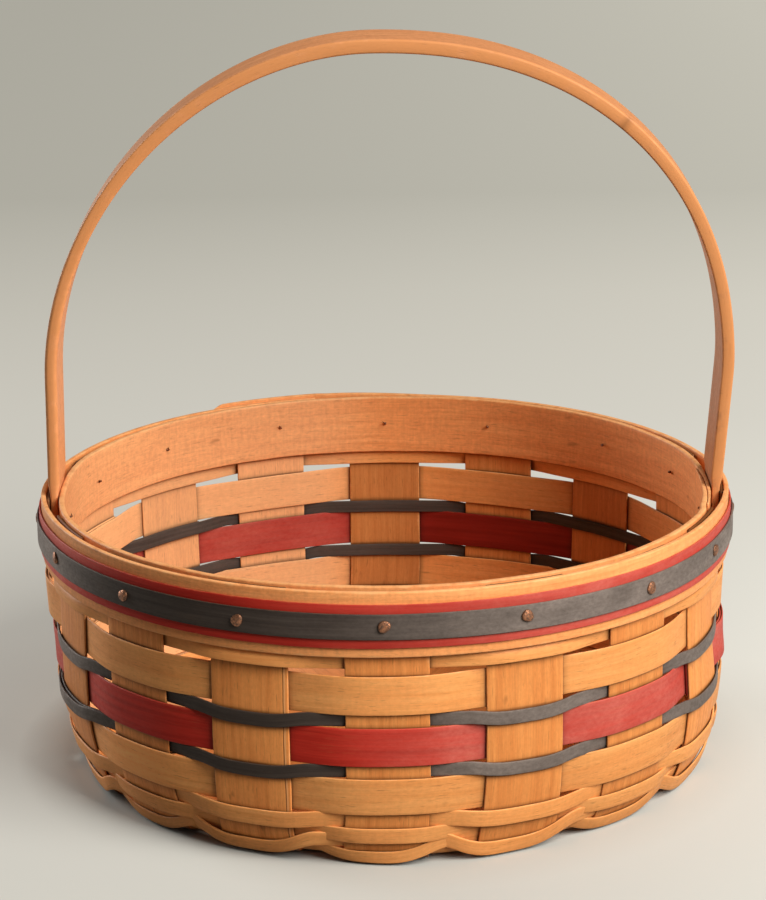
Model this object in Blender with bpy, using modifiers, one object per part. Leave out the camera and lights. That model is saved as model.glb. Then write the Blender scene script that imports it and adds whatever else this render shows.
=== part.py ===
# Round splint basket with a fixed bentwood handle.
# Eight long splints cross under the base and rise as sixteen stakes. Hoops of flat
# weaver pass over and under them, two bands clamp their tops and the handle's feet,
# and two dyed trim hoops are tacked outside. The table is at z = 0 and the basket's
# axis is the z axis. Angles start at the front (-y) and turn towards +x.

import math

import bmesh
import bpy
import numpy as np

MM = 0.001

# Overall shape
BODY_HEIGHT = 136.0 * MM  # table to the top of the rim
INNER_RADIUS = 159.3 * MM  # inside of the inner band
FOOT_DRAW = 13.4 * MM  # how far the wall draws in where it meets the table
FOOT_CURVE = 18.0 * MM  # height over which most of that happens
CLEAR = 0.3 * MM  # gap between touching pieces

# Crossing splints
SPLINT_COUNT = 8
SPLINT_WIDTH = 38.1 * MM
SPLINT_THICKNESS = 1.3 * MM
SPLINT_WAIST = 12.0 * MM  # width where they cross
SPLINT_SPACING = 1.0 * MM  # gap between neighbours in the base
SPLINT_TOP_DROP = 1.5 * MM  # cut ends below the top of the rim
HUB_RAMP = 48.0 * MM  # length over which the crossing stack comes down
BEND_STEPS = 3  # straight stretches in the bend from base to wall

# Weavers
WEAVER_THICKNESS = 1.1 * MM
WIDE_WEAVER_GAP = 2.6 * MM  # open slot between the top weaver and the first wide one
DARK_WEAVER = 6.0 * MM
FOOT_WEAVER = 6.8 * MM
TOP_WEAVER = 12.7 * MM
TOP_WEAVER_SHOWS = 7.0 * MM  # part of it below the outer band
FOOT_ROWS = 4
LOWEST_EDGE = 0.4 * MM  # bottom of the last foot weaver above the table
LOW_FLARE = 1.8 * MM  # how far the two lowest rows' lower edges stand out
HIGH_FLARE = 0.6 * MM  # the same for the two foot rows above them
FIRST_FOOT_DIP = 4.4 * MM  # sag of the top foot row where it passes outside a stake
SECOND_FOOT_DIP = 3.4 * MM
DARK_DIP = 1.5 * MM  # sag of a dark row where it passes outside a stake
DIP_FADE = 0.35  # share of the way from a stake's edge to mid-gap over which a dip ends
WEAVER_LAP_STAKES = 2  # stakes that a weaver's two ends share
BUTT_GAP = 0.6 * MM  # between ends that meet without a lap
BASE_WEAVER_COUNT = 3
BASE_WEAVER_INSET = 14.0 * MM  # outermost base weaver inside the top of the foot's bend

# Rim
INNER_BAND_THICKNESS = 2.8 * MM
OUTER_BAND_THICKNESS = 2.5 * MM
BAND_WIDTH = 30.8 * MM
OUTER_BAND_DROP = 0.5 * MM
TRIM_THICKNESS = 0.9 * MM
RED_TRIM_WIDTH = 20.6 * MM
BLUE_TRIM_WIDTH = 12.0 * MM
TRIM_DROP = 16.2 * MM  # middle of both trims below the top of the rim
BAND_LAP = 62.0 * MM  # length of the scarfed lap in each band
BAND_TIP = 0.8 * MM  # thickness left at a scarfed end
LAP_CLIMB = 7.0 * MM  # length over which a band climbs onto its own first end
INNER_LAP_END = 96.0  # degrees, tip of the inner band's lap
OUTER_LAP_END = 209.0  # degrees, tip of the outer band's lap
POCKET_HALF = 22.5  # degrees to each side over which the bands part for the handle
POCKET_SWELL = 1.4 * MM  # how far a handle's foot pushes the outer band out

# Handle
HANDLE_WIDTH = 34.0 * MM
HANDLE_FOOT_THICKNESS = 3.8 * MM
HANDLE_LEG_THICKNESS = 5.6 * MM
HANDLE_TOP_THICKNESS = 6.7 * MM
HANDLE_FOOT_DEPTH = 24.6 * MM  # foot below the top of the rim
HANDLE_FOOT_TAPER = 12.0 * MM  # height over which the foot grows to the leg
HANDLE_RISE = 218.1 * MM  # middle of the arch's top above the rim
HANDLE_LEAN = -3.5 * MM  # sideways lean of the arch's top
LEFT_SPRING = 55.0 * MM  # straight leg above the rim before the arch starts
LEFT_SPREAD = -1.7 * MM  # how much farther out the leg stands there than at the rim
LEFT_SQUARENESS = 1.9  # exponent of this half of the arch, 2 for a plain ellipse
RIGHT_SPRING = 62.0 * MM
RIGHT_SPREAD = 6.2 * MM
RIGHT_SQUARENESS = 2.23
HANDLE_ROUNDING = 1.3 * MM
HANDLE_STEPS = 17  # straight stretches in each half of the arch

# Tacks
TACK_HEAD = 5.7 * MM
TACK_HEAD_HEIGHT = 1.3 * MM
TACK_SIDES = 9
TACK_PROFILE = [(0, 1), (0.62, 0.82), (1, 0.3), (1, 0), (0, 0)]  # shares of radius and height

# Derived sizes
STAKE_COUNT = 2 * SPLINT_COUNT
PITCH = 2 * math.pi / STAKE_COUNT
BAND_GAP = 3 * CLEAR + SPLINT_THICKNESS + WEAVER_THICKNESS
INNER_BAND_FACE = INNER_RADIUS + INNER_BAND_THICKNESS
OUTER_BAND_FACE = INNER_BAND_FACE + BAND_GAP
WALL_RADIUS = INNER_BAND_FACE + BAND_GAP / 2
STAKE_SHIFT = (WEAVER_THICKNESS + CLEAR) / 2  # stakes step in and out at the rim
WEAVE_OFFSET = (SPLINT_THICKNESS + WEAVER_THICKNESS) / 2 + CLEAR
LAP_STEP = WEAVER_THICKNESS + CLEAR
OUTER_BAND_TOP = BODY_HEIGHT - OUTER_BAND_DROP
OUTER_BAND_BOTTOM = OUTER_BAND_TOP - BAND_WIDTH
TOP_WEAVER_BOTTOM = OUTER_BAND_BOTTOM - TOP_WEAVER_SHOWS
BASE_LEVEL = WEAVER_THICKNESS + CLEAR + SPLINT_THICKNESS / 2
POCKET = math.radians(POCKET_HALF)
OUTER_BAND_STOP = math.radians(OUTER_LAP_END)
LAP_RISE = BAND_TIP + CLEAR  # step of a band's outside over its lap

WOOD = {"color": (0.72, 0.40, 0.17), "roughness": 0.5, "metallic": 0.0}
WOOD_PALE = {"color": (0.78, 0.47, 0.22), "roughness": 0.45, "metallic": 0.0}
RED_DYE = {"color": (0.36, 0.05, 0.04), "roughness": 0.5, "metallic": 0.0}
DARK_DYE = {"color": (0.07, 0.075, 0.09), "roughness": 0.5, "metallic": 0.0}
COPPER = {"color": (0.30, 0.13, 0.06), "roughness": 0.45, "metallic": 1.0}


# Scene and objects

def clear_scene():
    for item in list(bpy.data.objects):
        bpy.data.objects.remove(item, do_unlink=True)


def new_collection(name):
    collection = bpy.data.collections.new(name)
    bpy.context.scene.collection.children.link(collection)
    return collection


def new_material(name, look):
    material = bpy.data.materials.new(name)
    material.use_nodes = True
    shader = material.node_tree.nodes["Principled BSDF"]
    shader.inputs["Base Color"].default_value = (*look["color"], 1.0)
    shader.inputs["Roughness"].default_value = look["roughness"]
    shader.inputs["Metallic"].default_value = look["metallic"]
    return material


def add_part(name, data, look, collection, parent):
    part = bpy.data.objects.new(name, data)
    part.data.materials.append(new_material(name + "_finish", look))
    part.parent = parent
    collection.objects.link(part)
    return part


def loft(name, sections):
    # Joins sections of equal point count, each a closed loop, into one capped body
    count = len(sections[0])
    points = [tuple(p) for section in sections for p in section]
    faces = [tuple(range(count)), tuple(range(len(points) - count, len(points)))]
    for i in range(len(sections) - 1):
        for j in range(count):
            k = (j + 1) % count
            faces.append((i * count + j, i * count + k, (i + 1) * count + k, (i + 1) * count + j))
    mesh = bpy.data.meshes.new(name)
    mesh.from_pydata(points, [], faces)
    work = bmesh.new()
    work.from_mesh(mesh)
    bmesh.ops.recalc_face_normals(work, faces=work.faces)
    work.to_mesh(mesh)
    work.free()
    mesh.set_sharp_from_angle(angle=math.radians(35))
    return mesh


def round_about(radius, angle, height):
    return (radius * math.sin(angle), -radius * math.cos(angle), height)


# Wall shape

def drawn_radius(height):
    # Middle of the splints: upright at the rim, drawn in towards the table
    return WALL_RADIUS - FOOT_DRAW * np.exp(-height / FOOT_CURVE)


HEIGHTS = np.linspace(0.0, BODY_HEIGHT, 400)
ARCS = np.concatenate([[0.0], np.cumsum(np.hypot(np.diff(HEIGHTS), np.diff(drawn_radius(HEIGHTS))))])


def arc_at(height):
    return float(np.interp(height, HEIGHTS, ARCS))


def height_at(arc):
    return float(np.interp(arc, ARCS, HEIGHTS))


WALL_ROOM = arc_at(TOP_WEAVER_BOTTOM - WIDE_WEAVER_GAP) - arc_at(LOWEST_EDGE)
NARROW_ROWS = FOOT_ROWS * (FOOT_WEAVER + CLEAR) + 2 * (DARK_WEAVER + CLEAR) + 2 * CLEAR
WIDE_WEAVER = (WALL_ROOM - NARROW_ROWS) / 3  # the three wide rows share what the others leave


def row_edges():
    # Lower and upper edge of each wall row as arc lengths up the wall, from the table upwards
    edges, low = [], arc_at(LOWEST_EDGE)
    widths = FOOT_ROWS * [FOOT_WEAVER] + 2 * [WIDE_WEAVER, DARK_WEAVER] + [WIDE_WEAVER]
    for width in widths:
        edges.append((low, low + width))
        low += width + CLEAR
    return edges


FOOT_BEND_HEIGHT = height_at(row_edges()[1][0])  # the bend from the base ends at the second row
KNOTS = [0.0] + [height_at(low) for low, high in row_edges()]
KNOTS += [height_at(row_edges()[-1][1]), TOP_WEAVER_BOTTOM, BODY_HEIGHT]


def wall_radius(height):
    # The drawn wall with straight stretches between the rows' edges, which all pieces share
    return float(np.interp(height, KNOTS, drawn_radius(np.array(KNOTS))))


def rim_share(height):
    # 1 where the stakes are clamped at the rim, fading to 0 in the first wide row below
    return float(np.clip(1 - (TOP_WEAVER_BOTTOM - height) / (2 * WIDE_WEAVER), 0, 1))


def pocket_share(angle):
    # 1 at a handle's foot, falling smoothly to 0 where the bands close again
    away = abs((angle % math.pi) - math.pi / 2)
    return math.cos(away / POCKET * math.pi / 2) ** 2 if away < POCKET else 0.0


def wall_swell(angle, height):
    return POCKET_SWELL * pocket_share(angle) * rim_share(height)


def stake_step(stake):
    # Odd stakes stand inside the top weaver and even stakes outside it
    return STAKE_SHIFT if stake % 2 == 0 else -STAKE_SHIFT


# Crossing splints

def hub_radius():
    return (SPLINT_WAIST + SPLINT_SPACING) / 2 / math.tan(PITCH / 2)


def full_width_radius():
    return (SPLINT_WIDTH + SPLINT_SPACING) / 2 / math.tan(PITCH / 2)


def splint_half_width(radius):
    taper = max(radius, hub_radius()) * math.tan(PITCH / 2) - SPLINT_SPACING / 2
    return min(SPLINT_WIDTH / 2, taper)


def splint_profile(layer, step):
    # Half of one splint's middle line as (radius, height), from the crossing outwards
    stack = BASE_LEVEL + layer * (SPLINT_THICKNESS + CLEAR)
    hub = hub_radius()
    foot = wall_radius(FOOT_BEND_HEIGHT)
    slope = (wall_radius(FOOT_BEND_HEIGHT + FOOT_WEAVER / 2) - foot) / (FOOT_WEAVER / 2)
    lift = math.atan2(1.0, slope)
    bend = (FOOT_BEND_HEIGHT - BASE_LEVEL) / (1 - math.cos(lift))
    centre = foot - bend * math.sin(lift)
    path = [(0.0, stack), (hub, stack), (hub + HUB_RAMP, BASE_LEVEL)]
    path += [(full_width_radius(), BASE_LEVEL), (centre, BASE_LEVEL)]
    for turn in np.linspace(0, lift, BEND_STEPS + 1)[1:]:
        path.append((centre + bend * math.sin(turn), BASE_LEVEL + bend * (1 - math.cos(turn))))
    wall = [z for z in KNOTS[:-1] if z > FOOT_BEND_HEIGHT] + [BODY_HEIGHT - SPLINT_TOP_DROP]
    path += [(wall_radius(z) + step * rim_share(z), z) for z in wall]
    return path


def splint_end(layer, stake):
    # Columns of (distance along the splint, height) for one end, at the left, middle and right
    path = splint_profile(layer, stake_step(stake))
    columns = []
    for side in (-1, 0, 1):
        column = []
        for radius, height in path:
            across = side * splint_half_width(radius)
            along = radius
            if radius >= full_width_radius():
                turn = math.asin(across / radius)
                reach = radius + wall_swell(stake * PITCH + turn, height)
                along = math.sqrt(reach ** 2 - across ** 2)
            column.append((along, across, height))
        columns.append(column)
    return columns


def crossing_splint(name, layer):
    here = splint_end(layer, layer)
    there = splint_end(layer, layer + SPLINT_COUNT)
    heading = layer * PITCH
    out = np.array([math.sin(heading), -math.cos(heading), 0.0])
    side = np.array([math.cos(heading), math.sin(heading), 0.0])
    up = np.array([0.0, 0.0, 1.0])
    upper, lower = [], []
    for j in range(3):
        far = [(-along, -across, height) for along, across, height in reversed(there[2 - j][1:])]
        line = np.array(far + here[j])
        flow = np.gradient(line[:, [0, 2]], axis=0)
        flow /= np.linalg.norm(flow, axis=1, keepdims=True)
        normal = np.stack([-flow[:, 1], flow[:, 0]], axis=1) * SPLINT_THICKNESS / 2
        for store, sign in ((upper, 1), (lower, -1)):
            a = line[:, 0] + sign * normal[:, 0]
            z = line[:, 2] + sign * normal[:, 1]
            store.append(a[:, None] * out + line[:, 1][:, None] * side + z[:, None] * up)
    sections = []
    for i in range(len(upper[0])):
        sections.append([upper[j][i] for j in range(3)] + [lower[j][i] for j in (2, 1, 0)])
    return loft(name, sections)


# Weavers

def place_on_wall(station, angle, offset, step):
    height = height_at(station)
    lift = step * STAKE_SHIFT * rim_share(height)
    return wall_radius(height) + wall_swell(angle, height) + lift + offset, height


def place_on_base(station, angle, offset, step):
    return station, BASE_LEVEL - offset


def crossing_stations(edge, moves):
    # Stops between one stake and the next: share of the pitch, share of the way from one side
    # of the weave to the other, and whether the row has its dip or lift: half at a stake's edge
    if moves:
        near = edge + DIP_FADE * (0.5 - edge)
        return [(0, 0, 1), (edge, 0, 0.5), (near, 0.25, 0), (1 - near, 0.75, 0), (1 - edge, 1, 0.5)]
    return [(0, 0, 1), (edge, 0, 0), (1 - edge, 1, 0)]


def weaver(name, row):
    # One flat strip from behind its first stake round to where it laps or meets itself
    place, low, high = row["place"], row["low"], row["high"]
    radius = place((low + high) / 2, 0.0, 0.0, 0)[0]
    edge = math.asin(SPLINT_WIDTH / 2 / radius) / PITCH
    stops = crossing_stations(edge, row["dip"] or row["lift"])
    laps = row["laps"]
    last = STAKE_COUNT + laps
    reach = edge if laps else -BUTT_GAP / 2 / radius / PITCH

    def level(j):
        over = j % 2 == 1
        offset = WEAVE_OFFSET if over else -WEAVE_OFFSET
        if laps and over and j < laps:
            offset += LAP_STEP
        if laps and not over and j >= STAKE_COUNT:
            offset -= LAP_STEP
        return offset, (row["first"] + j) % STAKE_COUNT, -row["dip"] if over else row["lift"]

    def section(at, j, mix, moved):
        (here, stake, shift), (there, following, shift_next) = level(j), level(min(j + 1, last))
        offset = here + (there - here) * mix
        steps = [1 if s % 2 == 0 else -1 for s in (stake, following)]
        step = steps[0] + (steps[1] - steps[0]) * mix
        move = shift if mix < 0.5 else shift_next
        move *= min(2 * moved, 1) if move > 0 else moved
        angle = (row["first"] + at) * PITCH
        flare = row["flare"] * max(offset / WEAVE_OFFSET, 0)
        ring = []
        half = WEAVER_THICKNESS / 2
        for station, side, tip in ((low, -1, 1), (low, 1, 1), (high, 1, 0), (high, -1, 0)):
            r, z = place(station + move, angle, offset + side * half + flare * tip, step)
            if place is place_on_base:
                z = place(station, angle, offset + side * half, step)[1]
            ring.append(round_about(r, angle, z))
        return ring

    sections = [section(-reach, 0, 0, stops[1][2] if laps else 1)]
    for j in range(last):
        for share, mix, moved in stops:
            if j + share > -reach:
                sections.append(section(j + share, j, mix, moved))
    sections.append(section(last, last, 0, 1) if laps else section(last + reach, last, 0, 1))
    if laps:
        sections.append(section(last + reach, last, 0, stops[1][2]))
    return loft(name, sections)


def wall_rows():
    # The rows from the table upwards. "over" is the parity of the stakes passed outside,
    # "behind" the stake behind which the ends are hidden
    low_foot, high_foot = {"flare": LOW_FLARE}, {"flare": HIGH_FLARE}
    dark = {"look": DARK_DYE, "over": 1, "dip": DARK_DIP}
    rows = [
        dict(low_foot, name="foot_weaver_4", over=0, behind=11, lift=FOOT_WEAVER + CLEAR),
        dict(low_foot, name="foot_weaver_3", over=1, behind=6, dip=FOOT_WEAVER),
        dict(high_foot, name="foot_weaver_2", over=0, behind=3, dip=SECOND_FOOT_DIP),
        dict(high_foot, name="foot_weaver_1", over=1, behind=8, dip=FIRST_FOOT_DIP),
        dict(name="lower_wide_weaver", over=0, behind=9),
        dict(dark, name="lower_dark_weaver", behind=12),
        dict(name="red_weaver", look=RED_DYE, over=0, behind=3),
        dict(dark, name="upper_dark_weaver", behind=10),
        dict(name="upper_wide_weaver", over=0, behind=11),
    ]
    for row, edges in zip(rows, row_edges()):
        row["low"], row["high"] = edges
        row["place"], row["laps"] = place_on_wall, WEAVER_LAP_STAKES
    bottom = arc_at(TOP_WEAVER_BOTTOM)
    rows.append(dict(name="top_weaver", over=1, behind=2, low=bottom, high=bottom + TOP_WEAVER,
                     place=place_on_wall, laps=0))
    for i in range(BASE_WEAVER_COUNT):
        outer = wall_radius(FOOT_BEND_HEIGHT) - BASE_WEAVER_INSET - i * (FOOT_WEAVER + CLEAR)
        rows.append(dict(name=f"base_weaver_{i + 1}", over=(i + 1) % 2, behind=2 + i,
                         low=outer - FOOT_WEAVER, high=outer, place=place_on_base, laps=0))
    for row in rows:
        row["first"] = row["behind"] + (row["behind"] % 2 == row["over"])
        row.setdefault("look", WOOD_PALE)
        for key in ("dip", "lift", "flare"):
            row.setdefault(key, 0.0)
    return rows


# Rim

def rim_angles(start, stop, extra):
    # The stakes' middles and edges, so that the hoops' facets lie parallel to the stakes'
    edge = math.asin(SPLINT_WIDTH / 2 / WALL_RADIUS)
    least = edge / 8  # a stake's line nearer than this to a line of the lap is left out
    kept = [start] + [a for a in extra if start < a < stop] + [stop]
    for k in range(int(start / PITCH) - 2, int(stop / PITCH) + 3):
        for angle in (k * PITCH - edge, k * PITCH, k * PITCH + edge, (k + 0.5) * PITCH):
            if start < angle < stop and min(abs(angle - a) for a in kept) > least:
                kept.append(angle)
    return sorted(kept)


def hoop(name, inner, outer, bottom, top, angles):
    # A hoop strip whose inner and outer radius are functions of the angle
    sections = []
    for angle in angles:
        r0, r1 = inner(angle), outer(angle)
        sections.append([round_about(r0, angle, bottom), round_about(r1, angle, bottom),
                         round_about(r1, angle, top), round_about(r0, angle, top)])
    return loft(name, sections)


def band_run(stop, radius):
    # Ends of a band's strip and the places in it where its lap begins and is climbed
    lap, climb = BAND_LAP / radius, LAP_CLIMB / radius
    start = stop - 2 * math.pi - lap
    return start, stop, lap, climb, [start + lap, stop - lap - climb, stop - lap]


def band_layer(angle, run, thickness):
    # Distance off the wall and thickness of a band whose last stretch lies over its first
    start, stop, lap, climb, lines = run
    slope = (thickness - BAND_TIP) / lap
    if angle < start + lap:
        return 0.0, BAND_TIP + slope * (angle - start)
    if angle > stop - lap:
        return LAP_RISE + slope * (angle - stop + lap), BAND_TIP + slope * (stop - angle)
    return LAP_RISE * max(1 - (stop - lap - angle) / climb, 0.0), thickness


def foot_faces():
    # Outer and inner face of a handle's foot, set against the stake that it stands inside
    stake_face = (OUTER_BAND_FACE - CLEAR - SPLINT_THICKNESS - CLEAR
                  + POCKET_SWELL * pocket_share(math.pi / 2 + math.asin(HANDLE_WIDTH / 2 / WALL_RADIUS)))
    outer = math.sqrt(stake_face ** 2 - (HANDLE_WIDTH / 2) ** 2)
    return outer, outer - HANDLE_FOOT_THICKNESS


def inner_band(name):
    run = band_run(math.radians(INNER_LAP_END), INNER_BAND_FACE)
    draw = INNER_BAND_FACE - (foot_faces()[1] - CLEAR)  # how far it gives way to a handle's foot

    def outer(angle):
        face = INNER_BAND_FACE - draw * pocket_share(angle)
        return face - band_layer(angle, run, INNER_BAND_THICKNESS)[0]

    def inner(angle):
        return outer(angle) - band_layer(angle, run, INNER_BAND_THICKNESS)[1]

    angles = rim_angles(run[0], run[1], run[4])
    return hoop(name, inner, outer, BODY_HEIGHT - BAND_WIDTH, BODY_HEIGHT, angles)


def outer_run():
    return band_run(OUTER_BAND_STOP, OUTER_BAND_FACE)


def outer_band(name):
    run = outer_run()

    def inner(angle):
        swell = POCKET_SWELL * pocket_share(angle)
        return OUTER_BAND_FACE + swell + band_layer(angle, run, OUTER_BAND_THICKNESS)[0]

    def outer(angle):
        return inner(angle) + band_layer(angle, run, OUTER_BAND_THICKNESS)[1]

    return hoop(name, inner, outer, OUTER_BAND_BOTTOM, OUTER_BAND_TOP, rim_angles(run[0], run[1], run[4]))


def trim_face(angle, layer):
    # Inner face of the trim hoops, which follow the outer band, its lap and the handle's swell
    start, stop, lap, climb, lines = outer_run()
    past = (angle - stop + math.pi) % (2 * math.pi) - math.pi
    rise = LAP_RISE * float(np.interp(past, [-lap - climb, -lap, 0.0, climb], [0, 1, 1, 0]))
    band = OUTER_BAND_FACE + OUTER_BAND_THICKNESS + POCKET_SWELL * pocket_share(angle)
    return band + rise + CLEAR + layer * (TRIM_THICKNESS + CLEAR)


def trim(name, layer, width):
    # Its ends meet under the rear tack
    start, stop, lap, climb, lines = outer_run()
    gap = BUTT_GAP / 2 / OUTER_BAND_FACE
    middle = BODY_HEIGHT - TRIM_DROP
    extra = [a - 2 * math.pi for a in lines[1:] + [stop, stop + climb]]

    def inner(angle):
        return trim_face(angle, layer)

    def outer(angle):
        return trim_face(angle, layer) + TRIM_THICKNESS

    angles = rim_angles(gap - math.pi, math.pi - gap, extra)
    return hoop(name, inner, outer, middle - width / 2, middle + width / 2, angles)


# Handle

def handle_side(spring, spread, squareness):
    # Middle line of one side, from its foot to just short of the top, heights above the rim
    foot = sum(foot_faces()) / 2
    line = []
    for z in (-HANDLE_FOOT_DEPTH, CLEAR, CLEAR + HANDLE_FOOT_TAPER):
        line.append((foot + spread * max(z - CLEAR, 0) / spring, z))
    power = 2 / squareness
    for turn in np.linspace(0, math.pi / 2, HANDLE_STEPS + 1)[:-1]:
        rise = (HANDLE_RISE - spring) * math.sin(turn) ** power
        line.append(((foot + spread) * math.cos(turn) ** power, spring + rise))
    return line


def handle_middle():
    # The bent batten isn't symmetric: its right shoulder is broader and higher than its left one
    left = [(-x, z) for x, z in handle_side(LEFT_SPRING, LEFT_SPREAD, LEFT_SQUARENESS)]
    right = handle_side(RIGHT_SPRING, RIGHT_SPREAD, RIGHT_SQUARENESS)
    return np.array(left + [(0.0, HANDLE_RISE)] + right[::-1])


def handle_thickness(height):
    growth = (HANDLE_TOP_THICKNESS - HANDLE_LEG_THICKNESS) * max(height, 0) / HANDLE_RISE
    taper = float(np.clip((height - CLEAR) / HANDLE_FOOT_TAPER, 0, 1))
    return HANDLE_FOOT_THICKNESS + (HANDLE_LEG_THICKNESS + growth - HANDLE_FOOT_THICKNESS) * taper


def handle(name):
    # Side outline of the arch, filled and extruded to the handle's width
    line = handle_middle()
    flow = np.gradient(line, axis=0)
    flow /= np.linalg.norm(flow, axis=1, keepdims=True)
    normal = np.stack([-flow[:, 1], flow[:, 0]], axis=1)
    half = np.array([handle_thickness(z) / 2 for z in line[:, 1]])[:, None]
    sideways = HANDLE_LEAN * np.maximum(line[:, 1], 0) / HANDLE_RISE
    lean = np.stack([sideways, np.full(len(line), BODY_HEIGHT)], axis=1)
    outline = np.concatenate([line + normal * half + lean, (line - normal * half + lean)[::-1]])
    curve = bpy.data.curves.new(name, "CURVE")
    curve.dimensions = "2D"
    curve.fill_mode = "BOTH"
    curve.extrude = HANDLE_WIDTH / 2
    spline = curve.splines.new("POLY")
    spline.points.add(len(outline) - 1)
    for point, (x, z) in zip(spline.points, outline):
        point.co = (x, z, 0.0, 1.0)
    spline.use_cyclic_u = True
    return curve


def mesh_from_curve(name, curve, collection):
    # Turns the curve into a welded mesh, so that its edges can be rounded
    source = bpy.data.objects.new(name + "_curve", curve)
    collection.objects.link(source)
    bpy.context.view_layer.update()
    evaluated = source.evaluated_get(bpy.context.evaluated_depsgraph_get())
    mesh = bpy.data.meshes.new_from_object(evaluated)
    bpy.data.objects.remove(source, do_unlink=True)
    work = bmesh.new()
    work.from_mesh(mesh)
    bmesh.ops.remove_doubles(work, verts=work.verts, dist=1e-6)
    bmesh.ops.recalc_face_normals(work, faces=work.faces)
    work.to_mesh(mesh)
    work.free()
    return mesh


# Tacks

def tack_mesh(name):
    # Domed head, turned from its profile by the Screw modifier on each tack
    points = [(x * TACK_HEAD / 2, 0, z * TACK_HEAD_HEIGHT) for x, z in TACK_PROFILE]
    mesh = bpy.data.meshes.new(name)
    mesh.from_pydata(points, [(i, i + 1) for i in range(len(points) - 1)], [])
    return mesh


def add_tack(name, mesh, stake, look, collection, parent):
    angle = stake * PITCH
    tack = add_part(name, mesh.copy(), look, collection, parent)
    radius = trim_face(angle, 1) + TRIM_THICKNESS + CLEAR
    tack.location = round_about(radius, angle, BODY_HEIGHT - TRIM_DROP)
    tack.rotation_euler = (math.pi / 2, 0, angle)
    screw = tack.modifiers.new("turn", "SCREW")
    screw.steps = screw.render_steps = TACK_SIDES
    screw.use_merge_vertices = True
    screw.merge_threshold = 1e-5
    return tack


# Assembly

def build():
    clear_scene()
    parts = new_collection("splint_basket")
    root = bpy.data.objects.new("splint_basket_frame", None)
    parts.objects.link(root)
    for layer in range(SPLINT_COUNT):
        name = f"crossing_splint_{layer + 1}"
        add_part(name, crossing_splint(name, layer), WOOD, parts, root)
    for row in wall_rows():
        add_part(row["name"], weaver(row["name"], row), row["look"], parts, root)
    add_part("inner_band", inner_band("inner_band"), WOOD, parts, root)
    add_part("outer_band", outer_band("outer_band"), WOOD, parts, root)
    add_part("red_trim", trim("red_trim", 0, RED_TRIM_WIDTH), RED_DYE, parts, root)
    add_part("blue_grey_trim", trim("blue_grey_trim", 1, BLUE_TRIM_WIDTH), DARK_DYE, parts, root)
    grip = add_part("handle", mesh_from_curve("handle", handle("handle"), parts), WOOD, parts, root)
    grip.rotation_euler = (math.pi / 2, 0, 0)
    edges = grip.modifiers.new("rounded edges", "BEVEL")
    edges.width = HANDLE_ROUNDING
    edges.segments = 1
    edges.limit_method = "ANGLE"
    edges.angle_limit = math.radians(50)
    head = tack_mesh("tack")
    for stake in range(STAKE_COUNT):
        add_tack(f"tack_{stake + 1}", head, stake, COPPER, parts, root)
    bpy.data.meshes.remove(head)


build()
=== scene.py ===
# Round splint basket with a bentwood handle.
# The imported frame's strips have a few flat facets each, so every strip of wood is bent again here
# as one smooth sheet with eased edges, woven at the frame's own stakes and heights.
# Lengths are millimetres until a mesh is made. Angles start at the front (-y) and turn towards +x.
import math
import bmesh
import bpy
import numpy as np
from mathutils import Matrix, Vector


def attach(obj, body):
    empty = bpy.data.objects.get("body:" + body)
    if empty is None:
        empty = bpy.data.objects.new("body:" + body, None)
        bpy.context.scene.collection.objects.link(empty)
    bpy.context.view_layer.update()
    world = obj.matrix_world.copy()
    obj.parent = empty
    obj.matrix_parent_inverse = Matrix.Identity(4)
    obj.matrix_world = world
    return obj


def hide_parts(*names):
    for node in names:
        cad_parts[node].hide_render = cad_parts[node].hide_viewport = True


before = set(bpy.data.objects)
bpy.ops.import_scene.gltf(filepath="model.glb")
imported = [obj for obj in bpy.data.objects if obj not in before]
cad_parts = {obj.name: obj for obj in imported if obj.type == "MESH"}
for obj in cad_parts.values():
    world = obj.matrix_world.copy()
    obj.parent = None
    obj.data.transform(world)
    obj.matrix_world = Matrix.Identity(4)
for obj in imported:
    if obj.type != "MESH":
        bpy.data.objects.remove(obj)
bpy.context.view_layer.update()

mm = 0.001
pitch = math.pi / 8  # sixteen stakes
scene = bpy.context.scene
chance = np.random.default_rng(16)
print("frame loaded:", len(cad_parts), "nodes")


# The wall that all strips share

wall = {"top": 136.0, "radius": 163.75, "footDraw": 13.4, "footCurve": 18.0,
        "clampedFrom": 97.7, "clampFade": 36.9, "pocketHalf": 22.5, "pocketSwell": 1.4,
        "stakeStep": 0.7, "baseLevel": 2.05, "footHeight": 6.43, "bandEdge": 104.8}


def smooth(x):
    # an even S from 0 to 1: 3 x squared less 2 x cubed
    x = np.clip(x, 0.0, 1.0)
    return x * x * (3 - 2 * x)


def hump(x, middle, span):
    # a bell: e to the minus square of the distance in spans
    return np.exp(-((x - middle) / span) ** 2)


def between(x, span):
    # rises from 0 to 1 at span["from"], over span["over"], and falls back to 0 at span["until"], over span["fade"]
    return smooth((x - span["from"]) / span["over"]) * (1 - smooth((x - span["until"]) / span["fade"]))


def degreesFrom(angle, at=0.0):
    # how far an angle lies from a place given in degrees, as -180 to 180 degrees
    return np.mod(np.degrees(angle) - at + 180, 360) - 180


def wallRadius(height):
    # full radius less a draw that dies away exponentially with the height
    return wall["radius"] - wall["footDraw"] * np.exp(-height / wall["footCurve"])


wallHeights = np.linspace(-4.0, 140.0, 1441)
wallArcs = np.concatenate([[0.0], np.cumsum(np.hypot(np.diff(wallHeights), np.diff(wallRadius(wallHeights))))])
wallArcs -= np.interp(0.0, wallHeights, wallArcs)


def arcAt(height):
    return np.interp(height, wallHeights, wallArcs)


def heightAt(arc):
    return np.interp(arc, wallArcs, wallHeights)


def rimShare(height):
    # 1 where the bands clamp the stakes, falling evenly to 0 in the rows below
    return np.clip(1 - (wall["clampedFrom"] - height) / wall["clampFade"], 0.0, 1.0)


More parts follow.
